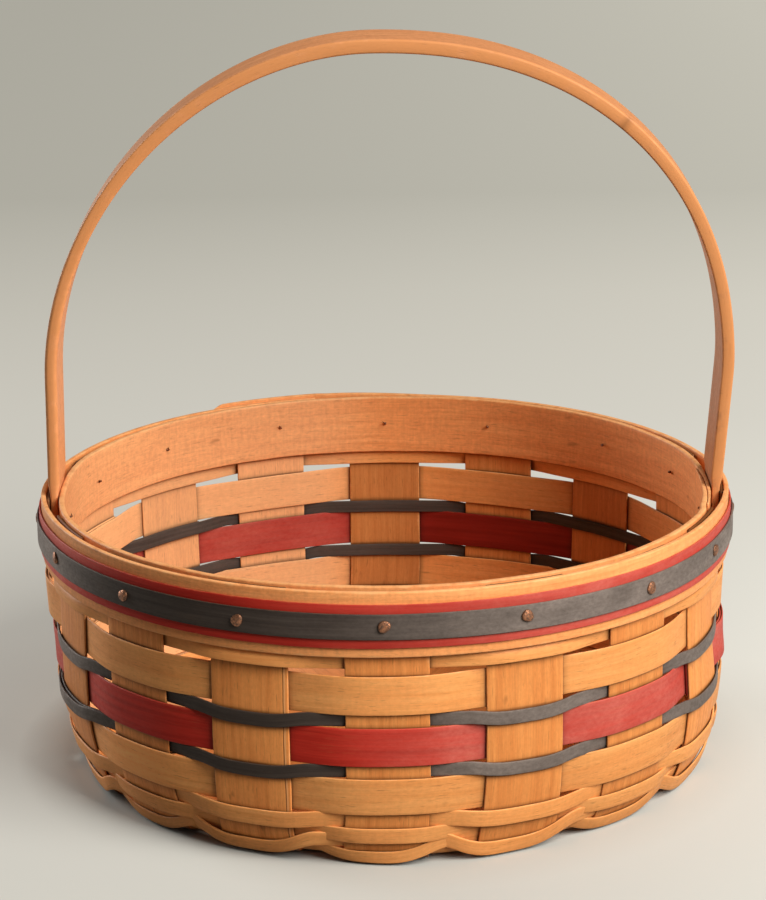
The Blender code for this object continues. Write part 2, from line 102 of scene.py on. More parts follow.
def pocketShare(angle):
    # cosine squared hump round each handle foot
    away = np.abs(np.mod(angle, math.pi) - math.pi / 2) / math.radians(wall["pocketHalf"])
    return np.where(away < 1, np.cos(np.clip(away, 0, 1) * math.pi / 2) ** 2, 0.0)


def roundAbout(radius, angle, height):
    # points (r sin angle, -r cos angle, height)
    return np.stack(np.broadcast_arrays(radius * np.sin(angle), -radius * np.cos(angle), height), axis=-1)


settling = {"sway": 3.4, "frontSway": -1.5, "swayFrom": 8.0, "swayOver": 36.0,
            "belly": 3.0, "bellyAt": 78.0, "bellySpan": 28.0, "bellyHeight": 43.0, "bellyReach": 20.0,
            "push": 4.5, "pushAt": 7.0, "pushSpan": 14.0, "pushFade": 9.0,
            "lift": 1.3, "liftAt": -24.0, "liftSpan": 14.0, "baseRadius": 115.0, "baseOver": 35.0}


def settled(points):
    # Years of use: both sides of the foot have slid a little to the right of the rim and its front a little to
    # the left, the wall bellies out on the right, and the foot's front edge is pushed out, with a bit to the
    # left of it raised off the table. The flat middle of the base stays where it is
    x, y, z = points[..., 0], points[..., 1], points[..., 2]
    angle, radius = np.degrees(np.arctan2(x, -y)), np.maximum(np.hypot(x, y), 1.0)
    low = np.exp(-np.clip(z, 0, None) / settling["pushFade"])
    out = smooth((radius - settling["baseRadius"]) / settling["baseOver"])
    belly = settling["belly"] * hump(angle, settling["bellyAt"], settling["bellySpan"])
    belly = belly * hump(z, settling["bellyHeight"], settling["bellyReach"])
    push = settling["push"] * hump(angle, settling["pushAt"], settling["pushSpan"]) * low
    grow = 1 + (belly + push) * out / radius
    sway = settling["frontSway"] + (settling["sway"] - settling["frontSway"]) * (x / radius) ** 2
    sway = sway * (1 - smooth((z - settling["swayFrom"]) / settling["swayOver"])) * out
    lift = settling["lift"] * hump(angle, settling["liftAt"], settling["liftSpan"]) * low * out
    return np.stack([x * grow + sway, y * grow, z + lift], axis=-1)


def wander(x, amount, step, seed):
    # slow unevenness of hand-split stock: three sines of unrelated lengths and phases
    turn = np.random.default_rng(seed).uniform(0, 2 * math.pi, 3)
    return amount * (np.sin(x / step + turn[0]) + 0.6 * np.sin(2.3 * x / step + turn[1])
                     + 0.35 * np.sin(5.1 * x / step + turn[2])) / 1.6


# Strips

def outline(inner):
    # Weights (flat half width, corner, corner push) for one side of a strip's outline, edge to edge
    ease = np.radians([90, 60, 30, 0])
    left = np.stack([-np.ones(4), -np.sin(ease), np.cos(ease)], axis=1)
    flat = np.linspace(-1, 1, inner + 2)[1:-1]
    middle = np.stack([flat, np.zeros(inner), np.ones(inner)], axis=1)
    right = np.stack([np.ones(4), np.sin(ease[::-1]), np.cos(ease[::-1])], axis=1)
    return np.concatenate([left, middle, right])


widestEase = 2.0  # the widest rounding of an edge
turnNudge = 0.0006  # step in radians for the slope of a strip that runs round the basket
unmarked = {"worn": 0.0, "split": 99.0, "fresh": 1.0, "crevice": 0.0, "dry": 0.0}  # a split at 99 mm is off the strip


def bentStrip(name, sheet, u, half, thick, inner=7, corner=0.8, nudge=0.1, tone=0.0, seam=0.0, **marks):
    # sheet(u, v) is the middle of the strip, u along and v across. Its normal is the cross product of
    # its two slopes. The outline runs over the upper side and back under the lower one, pushed off the
    # sheet by half the thickness, and eased at the edges by a quarter round of corner times that.
    # A mark is one of the keys of unmarked. It is a number, one number per station, or a function of
    # (along, across, side), where side is 1 on top and -1 underneath, and the finishes read it.
    count = len(u)

    def perStation(value):
        return np.broadcast_to(np.asarray(value, float), (count,))[:, None]

    half, push = perStation(half), perStation(thick) / 2
    ease = np.minimum(perStation(corner) * push, widestEase)
    side = outline(inner)
    weights = np.concatenate([side, side[::-1]])
    sign = np.repeat([1.0, -1.0], len(side))
    across = weights[:, 0] * (half - ease) + weights[:, 1] * ease
    off = sign * (push - ease + weights[:, 2] * ease)
    along = np.broadcast_to(u[:, None], across.shape)
    place = sheet(along, across)
    slopeU = sheet(along + nudge, across) - sheet(along - nudge, across)
    slopeV = sheet(along, across + 0.1) - sheet(along, across - 0.1)
    normal = np.cross(slopeU, slopeV)
    normal /= np.linalg.norm(normal, axis=-1, keepdims=True)
    points = place + normal * off[..., None]

    ring = len(weights)
    i, j = np.meshgrid(np.arange(count - 1), np.arange(ring), indexing="ij")
    k = (j + 1) % ring
    quads = np.stack([i * ring + j, (i + 1) * ring + j, (i + 1) * ring + k, i * ring + k], axis=-1).reshape(-1, 4)
    j = np.arange(ring // 2 - 1)
    startCap = np.stack([j, j + 1, ring - 2 - j, ring - 1 - j], axis=-1)
    endCap = startCap[:, ::-1] + (count - 1) * ring
    faces = np.concatenate([quads, startCap, endCap])

    # the strip map: distance along, and distance round the outline, with the two ends' caps past its ends
    middle = sheet(u, np.zeros(count))
    length = np.concatenate([[0.0], np.cumsum(np.linalg.norm(np.diff(middle, axis=0), axis=1))])
    a, b = float(half.max()), float(push.max())
    girth = np.where(sign > 0, across, 2 * a + 2 * b - across)
    nextGirth = np.roll(girth, -1, 1)
    stretchJ = np.stack([girth[:-1], girth[1:], nextGirth[1:], nextGirth[:-1]], -1)
    stretchJ[:, -1, 2:] = 3 * a + 4 * b
    lengths = np.broadcast_to(length[:, None], across.shape)
    stretchI = np.stack([lengths[:-1], lengths[1:], lengths[1:], lengths[:-1]], -1)
    lastRing = endCap - (count - 1) * ring
    capV = np.stack([across[0][startCap], across[-1][lastRing]])
    capU = np.stack([off[0][startCap] - 3, off[-1][lastRing] + length[-1] + 3])
    mapU = np.concatenate([stretchI.reshape(-1), capU.reshape(-1)])
    mapV = np.concatenate([stretchJ.reshape(-1), capV.reshape(-1)])
    shift = np.random.default_rng(int(seam * 10) + 7).uniform(0, 3, 2)

    def marked(key):
        value = marks.get(key, unmarked[key])
        return value(along, across, sign) if callable(value) else np.broadcast_to(perStation(value), across.shape)

    data = {key: marked(key) for key in unmarked}
    data["split"] = across - data["split"]
    data.update(edge=np.abs(across) / half, tone=np.full(across.shape, tone))
    return meshPiece(name, points, faces, data, np.stack([mapU * mm + shift[0], mapV * mm + shift[1]], -1))


def meshPiece(name, points, faces, data, stripMap=None):
    # arrays of points (mm) and faces, one value per point for each attribute in data, and a map per corner
    mesh = bpy.data.meshes.new(name)
    faces = np.asarray(faces)
    mesh.vertices.add(points.reshape(-1, 3).shape[0])
    mesh.vertices.foreach_set("co", (points * mm).astype(np.float32).ravel())
    mesh.loops.add(faces.size)
    mesh.loops.foreach_set("vertex_index", faces.astype(np.int32).ravel())
    mesh.polygons.add(len(faces))
    mesh.polygons.foreach_set("loop_start", np.arange(0, faces.size, faces.shape[1], dtype=np.int32))
    mesh.update(calc_edges=True)
    mesh.polygons.foreach_set("use_smooth", np.ones(len(faces), bool))
    if stripMap is not None:
        layer = mesh.uv_layers.new(name="strip")
        layer.data.foreach_set("uv", stripMap.astype(np.float32).ravel())
    for key, values in data.items():
        mesh.attributes.new(key, "FLOAT", "POINT").data.foreach_set("value", values.astype(np.float32).ravel())
    mesh.validate()
    piece = bpy.data.objects.new(name, mesh)
    scene.collection.objects.link(piece)
    return piece


def install(piece, finish, slotName, *nodes):
    piece.data.materials.append(finish)
    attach(piece, "root")
    if nodes:
        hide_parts(*nodes)
    return piece


# Finishes

def tint(red, green, blue):
    # a colour as seen on a screen, 0 to 255, turned to the linear values that shaders use
    c = np.array([red, green, blue]) / 255
    return (*np.where(c <= 0.04045, c / 12.92, ((c + 0.055) / 1.055) ** 2.4), 1.0)


def node(tree, kind, sockets=None, **settings):
    made = tree.nodes.new(kind)
    for key, value in settings.items():
        setattr(made, key, value)
    for key, value in (sockets or {}).items():
        if isinstance(value, bpy.types.NodeSocket):
            tree.links.new(value, made.inputs[key])
        else:
            made.inputs[key].default_value = value
    return made


def maths(tree, operation, a, b=0.0, clamp=False):
    return node(tree, "ShaderNodeMath", {0: a, 1: b}, operation=operation, use_clamp=clamp).outputs[0]


def times(tree, a, b):
    return maths(tree, "MULTIPLY", a, b)


def plus(tree, a, b):
    return maths(tree, "ADD", a, b)


def blendColours(tree, amount, a, b, mode="MIX"):
    return node(tree, "ShaderNodeMix", {0: amount, 6: a, 7: b}, data_type="RGBA", blend_type=mode).outputs[2]


def coat(tree, body, mask, share, colour):
    # lays a colour over the body where the mask is, by at most share
    return blendColours(tree, times(tree, mask, share), body, colour)


def dimmed(tree, colour, level):
    # multiplies red, green and blue by one level
    grey = node(tree, "ShaderNodeCombineColor", {0: level, 1: level, 2: level}).outputs[0]
    return blendColours(tree, 1.0, colour, grey, "MULTIPLY")


def spread(tree, value, low, high, toLow=0.0, toHigh=1.0):
    # carries low...high evenly to toLow...toHigh and stops there
    return node(tree, "ShaderNodeMapRange", {0: value, 1: low, 2: high, 3: toLow, 4: toHigh}, clamp=True).outputs[0]


def stretched(tree, vector, scale):
    return node(tree, "ShaderNodeVectorMath", {0: vector, 1: scale}, operation="MULTIPLY").outputs[0]


def noise(tree, vector, scale, detail=2.0, roughness=0.5):
    made = node(tree, "ShaderNodeTexNoise", {"Vector": stretched(tree, vector, scale), "Scale": 1.0,
                                             "Detail": detail, "Roughness": roughness})
    return made.outputs["Fac"]


def newGroup(name, inputs, outputs):
    # a node group with inputs (label, kind, value) and float outputs
    tree = bpy.data.node_groups.new(name, "ShaderNodeTree")
    for label, kind, value in inputs:
        socket = tree.interface.new_socket(label, in_out="INPUT", socket_type="NodeSocket" + kind)
        if value is not None:
            socket.default_value = value
    for label in outputs:
        tree.interface.new_socket(label, in_out="OUTPUT", socket_type="NodeSocketFloat")
    return tree, node(tree, "NodeGroupInput").outputs, node(tree, "NodeGroupOutput").inputs


def triple(tree, x, y, z):
    return node(tree, "ShaderNodeCombineXYZ", {0: x, 1: y, 2: z}).outputs[0]


def moved(tree, vector, by):
    return node(tree, "ShaderNodeVectorMath", {0: vector, 1: by}, operation="ADD").outputs[0]


def splintGrain():
    # Marks of split and shaved wood. The strip map is in metres: x along the strip, y across it. Each piece's
    # tone carries it to another layer of the noise, and a slow drift keeps the streaks from running dead straight
    tree, given, out = newGroup("splint grain", [("Strip", "Vector", None), ("Tone", "Float", 0.0),
                                                 ("Lines", "Float", 1.0)],
                                ["Streaks", "Fibres", "Mottle", "Speckle", "Spots", "Pores", "Chatter", "Height"])
    base = moved(tree, given["Strip"], triple(tree, 0.0, 0.0, times(tree, given["Tone"], 9.0)))
    drift = times(tree, maths(tree, "SUBTRACT", noise(tree, base, (9, 40, 1)), 0.5), 0.006)
    bent = moved(tree, base, triple(tree, 0.0, drift, 0.0))
    wide = triple(tree, 12.0, times(tree, given["Lines"], 430.0), 1.0)
    streaks = noise(tree, bent, wide, 5.0, 0.62)
    fibres = noise(tree, bent, (55, 1500, 1), 3.0, 0.65)
    mottle = noise(tree, base, (34, 70, 1.3), 3.0, 0.6)
    speckle = noise(tree, base, (430, 640, 1.9), 3.0, 0.65)
    spots = noise(tree, base, (75, 170, 3.1), 2.0)
    pores = spread(tree, noise(tree, bent, (150, 1500, 1.7), 1.0), 0.65, 0.74)
    chatter = noise(tree, base, (640, 70, 2.3), 2.0)
    for label, value, low, high in (("Streaks", streaks, 0.28, 0.72), ("Fibres", fibres, 0.25, 0.75),
                                    ("Mottle", mottle, 0.3, 0.7), ("Speckle", speckle, 0.28, 0.72),
                                    ("Spots", spots, 0.68, 0.8), ("Chatter", chatter, 0.35, 0.65)):
        tree.links.new(spread(tree, value, low, high), out[label])
    tree.links.new(pores, out["Pores"])
    height = plus(tree, plus(tree, times(tree, streaks, 0.6), times(tree, fibres, 0.5)), times(tree, speckle, 0.3))
    tree.links.new(maths(tree, "SUBTRACT", height, times(tree, pores, 0.35)), out["Height"])
    return tree


def edgeWear():
    # Where handling has worn the edges: the edge attribute against an uneven limit
    tree, given, out = newGroup("edge wear", [("Strip", "Vector", None), ("Edge", "Float", 0.0),
                                              ("Reach", "Float", 0.9)], ["Worn"])
    ragged = noise(tree, given["Strip"], (160, 60, 1), 3.0, 0.6)
    limit = plus(tree, given["Reach"], times(tree, maths(tree, "SUBTRACT", ragged, 0.5), 0.25))
    past = maths(tree, "SUBTRACT", given["Edge"], limit)
    tree.links.new(spread(tree, past, 0.0, 0.06), out["Worn"])
    return tree


grainGroup, wearGroup = splintGrain(), edgeWear()


def stripInputs(tree):
    strip = node(tree, "ShaderNodeUVMap", uv_map="strip").outputs[0]
    read = {key: node(tree, "ShaderNodeAttribute", attribute_name=key).outputs["Fac"]
            for key in ("edge", "tone", *unmarked)}
    return strip, read


def newFinish(name):
    finish = bpy.data.materials.new(name)
    finish.use_nodes = True
    tree = finish.node_tree
    return finish, tree, tree.nodes["Principled BSDF"]


def grainOf(tree, strip, read, look):
    grain = node(tree, "ShaderNodeGroup", {}, node_tree=grainGroup)
    tree.links.new(strip, grain.inputs["Strip"])
    tree.links.new(read["tone"], grain.inputs["Tone"])
    grain.inputs["Lines"].default_value = look["lines"]
    wear = node(tree, "ShaderNodeGroup", {}, node_tree=wearGroup)
    tree.links.new(strip, wear.inputs["Strip"])
    tree.links.new(read["edge"], wear.inputs["Edge"])
    wear.inputs["Reach"].default_value = look["wearReach"]
    return grain.outputs, wear.outputs["Worn"]


def finishSurface(tree, shader, body, grain, look, relief):
    # the brighter specks are the smoother ones
    tree.links.new(body, shader.inputs["Base Color"])
    rough = spread(tree, grain["Speckle"], 0.0, 1.0, look["rough"][1], look["rough"][0])
    tree.links.new(rough, shader.inputs["Roughness"])
    bump = node(tree, "ShaderNodeBump", {"Strength": look["relief"], "Distance": 0.0004, "Height": relief})
    tree.links.new(bump.outputs[0], shader.inputs["Normal"])
    shader.inputs["Specular IOR Level"].default_value = look["gloss"]


# the split in one stake, with painted shade in it, and the painted highlight of the lip beside it, in mm from the
# split, and how strongly they show
crack = {"half": 0.12, "fade": 0.34, "dark": 0.3, "depth": 2.0,
         "lipAt": 0.7, "lipHalf": 0.2, "lipFade": 0.5, "lipShow": 0.7}


def woodFinish(name, look):
    finish, tree, shader = newFinish(name)
    strip, read = stripInputs(tree)
    grain, worn = grainOf(tree, strip, read, look)
    lines = maths(tree, "POWER", grain["Streaks"], look["lineShape"])
    body = blendColours(tree, lines, look["dark"], look["pale"])
    body = coat(tree, body, grain["Mottle"], look["mottle"], look["warm"])
    # painted highlight: paler and less saturated on the inside's far left, which the key lamp lights
    body = coat(tree, body, read["dry"], look["dryShow"], look["dryColour"])
    body = coat(tree, body, grain["Spots"], look["spots"], look["grime"])
    level = plus(tree, times(tree, read["tone"], look["toneRange"]), 1.0)
    for mark in ("Fibres", "Speckle", "Chatter"):
        share = look[mark.lower()]  # each of these darkens by its share, and lightens by a little less
        level = times(tree, level, spread(tree, grain[mark], 0.0, 1.0, 1 - share, 1 + 0.6 * share))
    level = times(tree, level, spread(tree, grain["Pores"], 0.0, 1.0, 1.0, 1 - look["pores"]))
    # painted light and shade, and some tone that differs at random, multiply the level
    level = times(tree, level, read["fresh"])
    # a long split beside one stake's edge: painted shade at its bottom, with a painted highlight on a lifted lip beside
    # it
    slit = spread(tree, maths(tree, "ABSOLUTE", read["split"]), crack["half"], crack["fade"], 1.0, 0.0)
    level = times(tree, level, spread(tree, slit, 0.0, 1.0, 1.0, crack["dark"]))
    body = dimmed(tree, body, level)
    body = coat(tree, body, worn, look["edgeShow"], look["edgeColour"])
    besideLip = maths(tree, "ABSOLUTE", plus(tree, read["split"], crack["lipAt"]))
    lip = spread(tree, besideLip, crack["lipHalf"], crack["lipFade"], crack["lipShow"], 0.0)
    body = blendColours(tree, lip, body, look["edgeColour"])
    body = coat(tree, body, read["worn"], 0.85, look["grime"])
    # painted shade in the corners beside crossing strips; on the handle the same mark colours its knot
    body = coat(tree, body, read["crevice"], look["creviceShow"], look["creviceColour"])
    relief = maths(tree, "SUBTRACT", grain["Height"], times(tree, slit, crack["depth"]))
    finishSurface(tree, shader, body, grain, look, relief)
    return finish


def dyeFinish(name, look):
    # Thin dye on split wood. It is chalky, with painted sheen on the side the light falls on, where its mark is
    # highest, and rubs off the edges and high fibres
    finish, tree, shader = newFinish(name)
    strip, read = stripInputs(tree)
    grain, worn = grainOf(tree, strip, read, look)
    body = blendColours(tree, grain["Streaks"], look["deep"], look["faded"])
    # the dye's chalk with painted sheen, as the mark gives it
    chalk = times(tree, spread(tree, read["worn"], 0.0, 1.0, 0.02, 1.0), look["chalk"])
    chalk = times(tree, chalk, spread(tree, grain["Mottle"], 0.0, 1.0, 0.45, 1.0))
    chalk = times(tree, chalk, spread(tree, grain["Speckle"], 0.0, 1.0, 0.7, 1.2))
    body = blendColours(tree, chalk, body, look["chalkColour"])
    rub = spread(tree, times(tree, grain["Fibres"], grain["Mottle"]), 0.4, 0.85)
    body = coat(tree, body, rub, look["rub"], look["wood"])
    body = coat(tree, body, worn, look["edgeShow"], look["wood"])
    # painted shade in the corners beside the stakes
    body = coat(tree, body, read["crevice"], look["creviceShow"], look["creviceColour"])
    # painted light and shade, and some random tone, multiply the colour
    body = dimmed(tree, body, read["fresh"])
    finishSurface(tree, shader, body, grain, look, grain["Height"])
    return finish


def copperFinish(name, look):
    finish, tree, shader = newFinish(name)
    here = node(tree, "ShaderNodeTexCoord").outputs["Object"]
    blotch = noise(tree, here, (900, 900, 900), 3.0, 0.6)
    dents = noise(tree, here, (2600, 2600, 2600), 1.0)
    dull = spread(tree, blotch, 0.35, 0.62)
    tree.links.new(blendColours(tree, dull, look["bright"], look["dull"]), shader.inputs["Base Color"])
    tree.links.new(spread(tree, dull, 0.0, 1.0, 0.95, 0.45), shader.inputs["Metallic"])
    tree.links.new(spread(tree, dull, 0.0, 1.0, 0.38, 0.62), shader.inputs["Roughness"])
    bump = node(tree, "ShaderNodeBump", {"Strength": 0.5, "Distance": 0.0004, "Height": dents})
    tree.links.new(bump.outputs[0], shader.inputs["Normal"])
    return finish


# the colour and share for corners beside crossing strips are painted shade; on the handle they colour its knot
stakeLook = {"pale": tint(245, 164, 92), "dark": tint(209, 124, 62), "warm": tint(224, 136, 70), "lines": 0.75,
             "lineShape": 0.8, "mottle": 0.45, "spots": 0.4, "fibres": 0.12, "speckle": 0.07, "chatter": 0.0,
             "pores": 0.24, "toneRange": 0.08, "wearReach": 0.97, "edgeShow": 0.4, "edgeColour": tint(248, 182, 122),
             "grime": tint(104, 56, 28), "creviceShow": 0.8, "creviceColour": tint(50, 22, 10),
             "dryShow": 0.6, "dryColour": tint(234, 186, 142), "rough": (0.42, 0.58), "relief": 0.22, "gloss": 0.2}
weaverLook = dict(stakeLook, pale=tint(250, 178, 108), dark=tint(228, 148, 80), warm=tint(236, 154, 88),
                  lineShape=1.0, mottle=0.6, spots=0.25, fibres=0.08, speckle=0.08, chatter=0.02, pores=0.26,
                  relief=0.18, edgeColour=tint(253, 198, 140))
bandLook = dict(stakeLook, pale=tint(249, 174, 110), dark=tint(220, 138, 78), warm=tint(232, 148, 88),
                lines=0.8, mottle=0.6, spots=0.4, fibres=0.1, speckle=0.12, chatter=0.05, pores=0.18,
                edgeColour=tint(253, 196, 136), edgeShow=0.5, wearReach=0.95)
handleLook = dict(bandLook, pale=tint(231, 163, 112), dark=tint(200, 130, 82), warm=tint(211, 139, 90),
                  lines=0.7, mottle=0.7, speckle=0.11, chatter=0.02, pores=0.5, spots=0.5, edgeShow=0.75,
                  wearReach=0.93, edgeColour=tint(220, 147, 89), grime=tint(150, 78, 42))
# the chalk colours stand partly for the dyes' own chalk and partly for painted sheen
redLook = {"deep": tint(160, 26, 14), "faded": tint(202, 50, 36), "chalk": 0.58, "chalkColour": tint(219, 126, 112),
           "rub": 0.2, "wood": tint(200, 116, 76), "wearReach": 0.96, "edgeShow": 0.35, "lines": 0.9,
           "creviceShow": 0.7, "creviceColour": tint(34, 8, 5), "rough": (0.48, 0.66), "relief": 0.22, "gloss": 0.2}
darkLook = {"deep": tint(44, 35, 31), "faded": tint(74, 64, 58), "chalk": 0.62, "chalkColour": tint(171, 157, 149),
            "rub": 0.16, "wood": tint(112, 84, 62), "wearReach": 0.95, "edgeShow": 0.4, "lines": 1.2,
            "creviceShow": 0.7, "creviceColour": tint(16, 12, 10), "rough": (0.48, 0.7), "relief": 0.25, "gloss": 0.2}

stakeWood = woodFinish("varnished stake wood", stakeLook)
weaverWood = woodFinish("varnished weaver wood", weaverLook)
bandWood = woodFinish("varnished band wood", bandLook)
handleWood = woodFinish("varnished handle wood", handleLook)
redDye = dyeFinish("brick red dye on wood", redLook)
darkDye = dyeFinish("blue-grey dye on wood", darkLook)
copper = copperFinish("tarnished copper", {"bright": tint(178, 122, 90), "dull": tint(100, 72, 56)})
print("finishes made")


# Stakes: eight splints that cross under the base

# the last entry gives each stake's painted light and shade: lighter at the front, darker on the rear stakes to the
# right of the middle
splint = {"half": 19.05, "thick": 1.3, "spacing": 1.0, "hub": 32.7, "ramp": 48.0, "layer": 1.6, "topDrop": 1.5,
          "bowFrom": 60.0, "bowOver": 38.0, "dustFrom": 140.0, "dustOver": 6.0, "dryFrom": 60.0, "dryOver": 60.0,
          "station": 1.2, "splitLayer": 7, "splitAt": -16.6,
          "fresh": {0: 1.06, 1: 1.02, 2: 1.02, 3: 1.1, 15: 1.14, 13: 1.04, 8: 0.66, 7: 0.8, 9: 1.04, 6: 0.74}}
dust = {"band": 1.0, "below": 1.1, "above": 0.6, "beside": 1.3}  # how fast the painted shade in corners dies away, in mm
# painted highlight on the inside's far left, from and until in degrees
dried = {"from": 178.0, "over": 18.0, "until": 262.0, "fade": 36.0, "most": 0.9}


def halfSplint(layer):
    # From the crossing outwards: flat base with a ramp down from the stack, a round bend, then the wall
    lift = math.atan2(1.0, wall["footDraw"] / wall["footCurve"] * math.exp(-wall["footHeight"] / wall["footCurve"]))
    bend = (wall["footHeight"] - wall["baseLevel"]) / (1 - math.cos(lift))
    centre = wallRadius(wall["footHeight"]) - bend * math.sin(lift)
    base = np.linspace(0, centre, 160)
    baseZ = wall["baseLevel"] + layer * splint["layer"] * (1 - smooth((base - splint["hub"]) / splint["ramp"]))
    turn = np.linspace(0, lift, 16)[1:]
    height = np.linspace(wall["footHeight"], wall["top"] - splint["topDrop"], 130)[1:]
    radius = np.concatenate([base, centre + bend * np.sin(turn), wallRadius(height)])
    heights = np.concatenate([baseZ, wall["baseLevel"] + bend * (1 - np.cos(turn)), height])
    return radius, heights


def besideRows(stake, station, outside):
    # Painted shade in the corner beside each strip that crosses a stake, and under the band's lower edge: 1 under the
    # strip, dying away exponentially below and, faster, above it
    depth = np.exp(-np.clip(arcAt(wall["bandEdge"]) - station, 0, None) / dust["band"])
    for row in rows:
        if (stake - row["first"]) % 2 == (1 if outside else 0):
            low = arcAt(row["low"]) - (row["sag"] if outside else 0.0)
            below, above = np.clip(low - station, 0, None), np.clip(station - low - row["width"], 0, None)
            depth = np.maximum(depth, np.exp(-below / dust["below"] - above / dust["above"]))
    return depth


def dryInside(angle):
    # how strongly painted highlight makes the inside paler: most along its far left, which faces the key lamp, and 0
    # elsewhere
    return dried["most"] * between(np.mod(np.degrees(angle), 360), dried)


def dryBack(share):
    # the same as a mark on the inner side of a strip that runs round the basket
    return lambda angle, v, side: np.where(side < 0, share * dryInside(angle), 0.0)


def crossingSplint(layer):
    # One long splint: up a stake on the far side, across the base in its own layer, and up the stake opposite
    radius, height = halfSplint(layer)
    reach = np.concatenate([-radius[:0:-1], radius])  # negative on the far side
    heights = np.concatenate([height[:0:-1], height])
    arc = np.concatenate([[0.0], np.cumsum(np.hypot(np.diff(reach), np.diff(heights)))])
    heading = layer * pitch
    out = np.array([math.sin(heading), -math.cos(heading), 0.0])
    sideways = np.array([math.cos(heading), math.sin(heading), 0.0])
    step = wall["stakeStep"] * (1 if layer % 2 == 0 else -1)

    def sheet(s, v):
        rho, z = np.interp(s, arc, reach), np.interp(s, arc, heights)
        far = np.abs(rho)
        turn = heading + np.arcsin(np.clip(v / np.maximum(far, 40.0), -1, 1)) * np.sign(rho)
        full = far + (step + wall["pocketSwell"] * pocketShare(turn)) * rimShare(z)
        bowed = v * smooth((far - splint["bowFrom"]) / splint["bowOver"])  # the wall end is bowed to the circle
        along = np.sign(rho) * np.sqrt(np.maximum(full ** 2 - bowed ** 2, 0.0))
        return settled(along[..., None] * out + v[..., None] * sideways + z[..., None] * np.array([0, 0, 1.0]))

    def crevice(s, v, side):
        # painted shade beside the rows, on the stake's wall part only
        z, far = np.interp(s, arc, heights), np.abs(np.interp(s, arc, reach))
        depth = np.where(side > 0, besideRows(layer, arcAt(z), False), besideRows(layer, arcAt(z), True))
        return depth * smooth((far - splint["dustFrom"]) / splint["dustOver"])

    def dry(s, v, side):
        end = np.where(s < arc[-1] / 2, layer + 8, layer) * pitch
        far = np.abs(np.interp(s, arc, reach))
        return np.where(side > 0, dryInside(end), 0.0) * smooth((far - splint["dryFrom"]) / splint["dryOver"])

    s = np.linspace(0, arc[-1], int(arc[-1] / splint["station"]))
    far = np.abs(np.interp(s, arc, reach))
    half = np.minimum(splint["half"], np.maximum(far, splint["hub"]) * math.tan(pitch / 2) - splint["spacing"] / 2)
    half = half + wander(s, 0.12, 21.0, 40 + layer)
    farEnd = s < arc[-1] / 2
    split = np.where((layer == splint["splitLayer"]) & farEnd, splint["splitAt"] + wander(s, 0.2, 14.0, 60),
                     unmarked["split"])
    ends = splint["fresh"].get(layer + 8, 1.0), splint["fresh"].get(layer, 1.0)
    piece = bentStrip(f"crossingSplint{layer + 1}", sheet, s, half, splint["thick"], inner=9,
                      tone=chance.uniform(-1, 1), seam=layer, split=split, fresh=np.where(farEnd, *ends),
                      crevice=crevice, dry=dry)
    return install(piece, stakeWood, "splint_wood", f"crossing_splint_{layer + 1}")


# Weavers

weave = {"swing": 1.5, "thick": 1.1, "lapStep": 1.4, "stakeEdge": 6.69 / 22.5, "buttGap": 0.0047,
         "stakePitch": 64.3, "station": 1.6, "kickOver": 3.0, "rearFrom": 172.0, "rearOver": 16.0, "rearLeast": 0.45}
# the dyes' chalk with painted sheen: strongest towards this angle, in degrees, and two patches of painted sheen
sunned = {"towards": 37.0, "power": 5, "from": -12.0, "over": 30.0, "until": 40.0, "fade": 55.0,
          "patches": ((-72.0, 15.0, 1.2), (78.0, 11.0, 0.8))}


def patches(angle):
    # two patches of painted sheen (at, span, strength), one on the left and one on the right
    return sum(strength * hump(degreesFrom(angle, at), 0, span) for at, span, strength in sunned["patches"])


def trimChalk(angle):
    # How chalky a trim's dye is drawn, partly its own chalk and partly painted sheen on the side the light falls on:
    # a high power of the cosine of its angle off that side
    facing = np.cos(angle - math.radians(sunned["towards"]))
    return np.clip(facing, 0.0, 1.0) ** sunned["power"] + patches(angle)


def rowChalk(angle):
    # the same for the rows in the wall, where it starts more sharply
    return between(degreesFrom(angle), sunned) + patches(angle)


def passing(j):
    # 1 where the row passes outside a stake, -1 inside: a cosine flattened where it lies on the stake
    return -(1.15 * np.cos(math.pi * j) - 0.15 * np.cos(3 * math.pi * j))


def outward(j, start):
    # 0 to 1 as the row comes out round a stake: minus the cosine, from start to 1
    return smooth((-np.cos(math.pi * j) - start) / (1 - start))


def lapShift(j):
    # The row's first end lies a step outside its last one wherever they meet: it steps out at its second
    # stake, and the last end steps in at the stakes on both sides of that one
    early = smooth((j - 0.3) / 0.4) - smooth((j - 1.3) / 0.4)
    late = smooth((j - 15.35) / 0.35) - smooth((j - 16.3) / 0.35) + smooth((j - 17.35) / 0.35)
    return weave["lapStep"] * (early - late)


